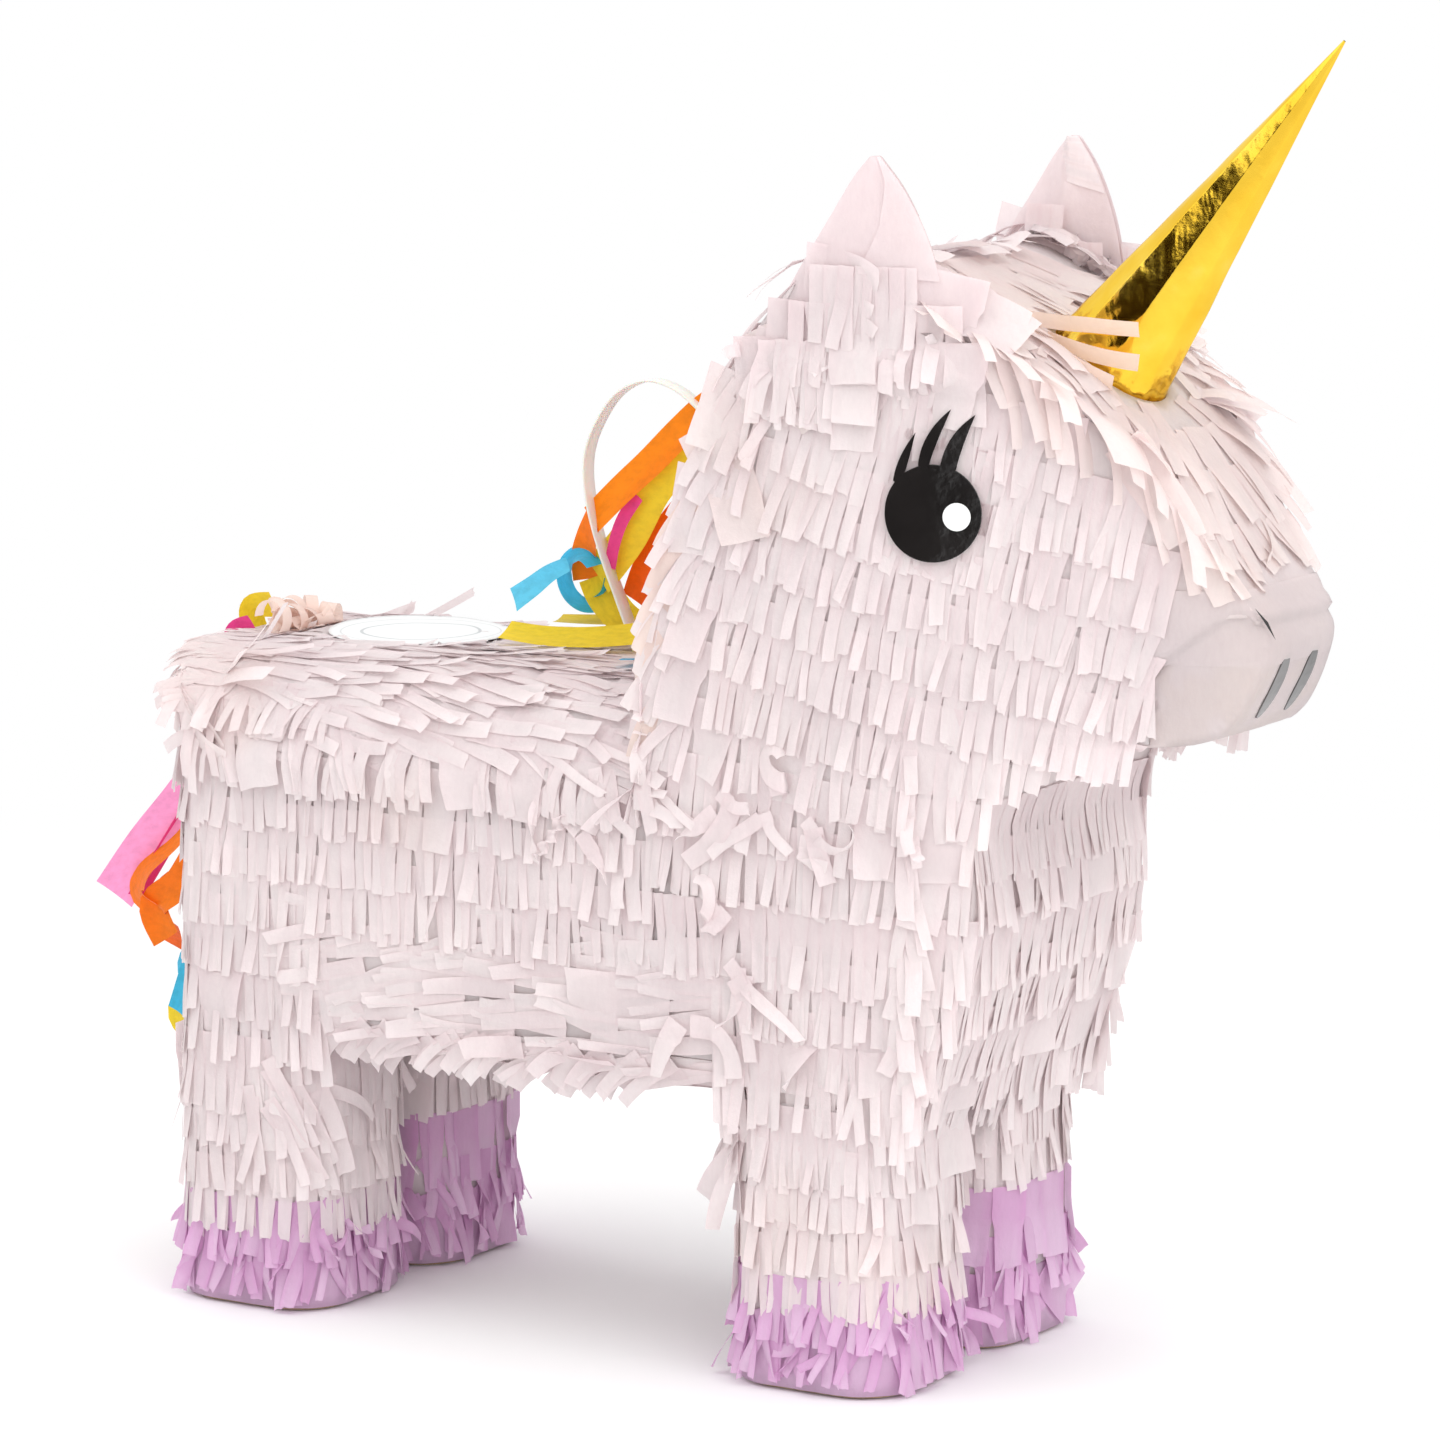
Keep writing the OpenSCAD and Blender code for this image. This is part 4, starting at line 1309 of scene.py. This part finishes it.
def add_strap():
    """Flat plastic strap through the back and the neck: the loop that the pinata hangs by."""
    path = smooth_path([at(x, 0, z) for x, z in STRAP_ROUTE], 6)
    width, thickness, corner = 8 * MM, 1 * MM, 0.3 * MM
    w, h = width / 2, thickness / 2
    outline = [(w, -h + corner), (w, h - corner), (w - corner, h), (-w + corner, h), (-w, h - corner),
               (-w, -h + corner), (-w + corner, -h), (w - corner, -h)]
    piece = Piece("strap_loop", "strap_plastic", "carcass", ("hanging_strap",))
    rows = []
    for k, spot in enumerate(path):
        onward = heading(path, k)
        up = onward.cross(LEFT)
        rows.append([spot + LEFT * a + up * b for a, b in outline])
    piece.grid(rows, 0.5, closed=True)
    n = len(outline)
    piece.faces.append(tuple(range(n)))
    piece.faces.append(tuple(range(len(piece.points) - n, len(piece.points))))
    strap = piece.make()


COLOURS = ("orange", "yellow", "pink", "cyan")
OUTLOOK = Vector((0.5, -0.85, 0.15))
CURL = [(-19 + 10 * math.cos(a), -1 + 1.4 * a, 298 + 10.5 * math.sin(a))
        for a in (math.radians(d) for d in range(40, 400, 36))]
# Loose mane ribbons over the back: colour, route, width or end widths, shade, turn, twist, wave
# A high shade here is partly a deeper hue and partly painted shade on folded ribbons and ribbons lying behind
# others.
MANE = (
    ("orange", [(52, 0, 378), (40, 0, 371), (28, 0, 361), (14, 0, 348), (0, 0, 336), (-14, 0, 323)],
     13, 0.1, 15, 15),
    ("orange", [(-14, 1, 323), (-18, 3, 315), (-20, 4, 307), (-19, 5, 298)], 13, 0.5, 55, -30),
    ("orange", [(48, 7, 346), (31, 7, 332), (18, 7, 318), (9, 7, 304), (3, 7, 290)], 17, 0.95, 20, 20),
    ("orange", [(42, 9, 326), (27, 9, 314), (17, 9, 302), (11, 9, 288)], 13, 0.4, 35, 20),
    ("yellow", [(46, 3, 362), (30, 3, 350), (15, 3, 337), (3, 3, 318), (-6, 3, 307), (-13, 3, 300)],
     (12, 18), 0.1, 10, 15),
    ("yellow", [(-13, 3, 300), (-10, 4, 292), (-2, 4, 284), (8, 4, 279)], (16, 13), 0.4, -15, 30),
    ("yellow", [(34, -8, 284), (14, -9, 280), (-8, -10, 277), (-30, -10, 276), (-50, -9, 277)],
     11, 0.15, 35, 10),
    ("yellow", [(34, 6, 296), (14, 8, 286), (-10, 8, 282), (-34, 6, 281)], 10, 0.5, 50, 20),
    ("pink", [(8, 0, 334), (1, 0, 324), (-3, 0, 314), (-5, 0, 304)], 6, 1.0, 20, 20),
    ("cyan", CURL, 11, 0.7, 48, 10, 0),
    ("cyan", [(-22, -5, 305), (-30, -6, 301), (-38, -7, 295), (-47, -7, 289)], (6, 11), 0.0, 15, 15),
)
# Tail ribbons: colour, distance to the left of the middle, route below the tab with its own drift to the
# left, width or end widths, shade, turn, twist
# A high shade here is partly a deeper hue and partly painted shade on folded ribbons and ribbons lying behind
# others.
TAIL = (
    ("pink", -2, [(-192, 0, 228), (-205, 0, 210), (-220, 0, 191), (-238, 0, 170), (-255, 0, 147)],
     (10, 19), 0.0, 20, -15),
    ("pink", 0, [(-190, 0, 224), (-204, 0, 204), (-220, 0, 182), (-236, 1, 160), (-246, 1, 146)],
     (5, 7), 0.95, -30, 15),
    ("orange", -2, [(-190, 0, 220), (-208, 0, 192), (-224, 0, 174), (-238, -2, 160), (-240, -3, 148),
                    (-228, -3, 142)], (11, 17), 0.2, 20, 50),
    ("orange", 6, [(-188, 0, 218), (-202, 0, 184), (-216, 0, 162), (-232, -2, 150), (-238, -3, 138),
                   (-224, -3, 130)], (12, 18), 0.85, 10, 50),
    ("orange", -10, [(-186, 0, 212), (-200, 0, 180), (-214, 0, 158), (-228, 0, 146), (-222, 0, 132)],
     (11, 17), 0.4, 0, 40),
    ("orange", 16, [(-184, 0, 210), (-192, 2, 170), (-204, 3, 140), (-214, 4, 118)], 10, 0.4, 70, -40),
    ("blue", 4, [(-184, 0, 206), (-196, 0, 166), (-210, 0, 138), (-221, -2, 119), (-214, -2, 104)],
     10, 0.3, 10, 40),
    ("blue", -16, [(-182, 0, 204), (-190, -2, 160), (-202, -3, 128), (-210, -4, 104)], 10, 0.6, 60, -20),
    ("yellow", 0, [(-184, 0, 204), (-194, 0, 160), (-208, 0, 124), (-223, -2, 100), (-214, -2, 88)],
     11, 0.2, 10, 40),
    ("yellow", 18, [(-182, 0, 204), (-188, 0, 162), (-196, 0, 124), (-206, 2, 92)], 10, 0.5, 50, -10),
    ("pink", 22, [(-184, 0, 206), (-192, 2, 166), (-206, 4, 134), (-216, 6, 112)], 10, 0.4, 60, -10),
)
# The short ends that stick up over the tab, in the same order as MANE
TAIL_ENDS = (
    ("yellow", [(-175, -3, 262), (-179, -4, 270), (-177, -6, 277), (-166, -8, 279)], 11, 0.2, 20),
    ("pink", [(-176, -14, 256), (-180, -15, 263), (-178, -16, 268), (-169, -18, 271)], 10, 1.0, 20),
)


def ribbon(piece, route, width, shade, turn=0.0, twist=0.0, wave=0.6):
    """A paper ribbon through given points. turn tips it away from facing outwards to the right."""
    path = smooth_path([at(*p) for p in route], 6)
    wide = [w * MM for w in width] if isinstance(width, tuple) else [width * MM] * 2
    rows = []
    for k, spot in enumerate(path):
        t = k / (len(path) - 1)
        onward = heading(path, k)
        side = onward.cross(OUTLOOK).normalized()
        side.rotate(Quaternion(onward, math.radians(turn + twist * t)))
        up = onward.cross(side)
        half = (wide[0] + (wide[1] - wide[0]) * t) / 2
        rows.append([spot + side * half * (i / 2 - 1) + up * wave * MM * (1 - (i / 2 - 1) ** 2)
                     for i in range(5)])
    piece.grid(rows, shade)


def add_mane():
    """Bunches of ribbon down the middle of the neck, with the loose ends that show over the back."""
    mane = {c: Piece("mane_ribbons_" + c, "ribbon_" + c, "carcass", ("mane_" + c,)) for c in COLOURS}
    for k in range(60):
        z = 290 + 128 * ((k * 0.618) % 1)
        low = max(0.0, 1 - (z - 290) / 45)
        hang = Cut(length=66 - 26 * low, spread=14, glued=0.06, lift=7 + 24 * low, lift_spread=6,
                   lean_spread=13, wander=12, curl=-22, curl_spread=26, turn_spread=25, twist_spread=60,
                   clear=3.5, base=3, steps=18, droop=0.3, shade=(0.0, 0.8))
        y = rng.uniform(-26, 26)
        place = TRUNK.hit(at(-60, y, z), FORWARD, 0.3)
        if place is not None:
            add_strip(mane[COLOURS[k % 4]], TRUNK, place, DOWN, hang, rng.uniform(8, 12) * MM)
    for colour, route, *look in MANE:
        ribbon(mane[colour], route, *look)
    for piece in mane.values():
        piece.make()


def add_tail():
    """Ribbons gummed under the tail's tissue tab; they swing with it."""
    tail = {c: Piece("tail_ribbons_" + c, "ribbon_" + ("cyan" if c == "blue" else c), "tail", ("tail_" + c,))
            for c in ("orange", "yellow", "pink", "blue")}
    tab = Piece("tail_tab", "pink_tissue", "tail", ("tail_tape",))
    add_crumpled(tab, "tail_tape", 0.5)
    for k in range(9):
        y = -26 + 6.4 * k
        route = [at(-173, y, 264), at(-175, y, 254), at(-176 - k % 3, y - 1, 244), at(-178, y, 236)]
        free_sheet(tab, smooth_path(route, 4), 6 * MM, LEFT, 0.1 + 0.05 * (k % 4), 0.0, 0.5 * MM)
    tab.make()
    for colour, y, points, width, shade, turn, twist in TAIL:
        route = [(-174, y * 0.6, 262), (-180, y * 0.8, 248)] + [(x, y + dy, z) for x, dy, z in points]
        ribbon(tail[colour], route, width, shade, turn, twist, 0.8)
    for colour, route, *look in TAIL_ENDS:
        ribbon(tail[colour], route, *look)
    for piece in tail.values():
        piece.make()


# ---- build ----

add_world()
add_camera()
add_floor()
add_area_light("key", at(-700, -1500, 1400), 1.8, 5)
add_area_light("front", at(1500, -900, 700), 1.8, 12.5)
add_area_light("top", at(100, -300, 2200), 2.4, 13)
add_dark_card("dark_card", at(-150, -920, 440), at(240, 0, 440), 1.5, 0.5, math.radians(29))
add_strap()
dress_cad_nodes()
make_fringe()
add_horn()
add_eyes()
add_label()
add_snout()
add_mane()
add_tail()
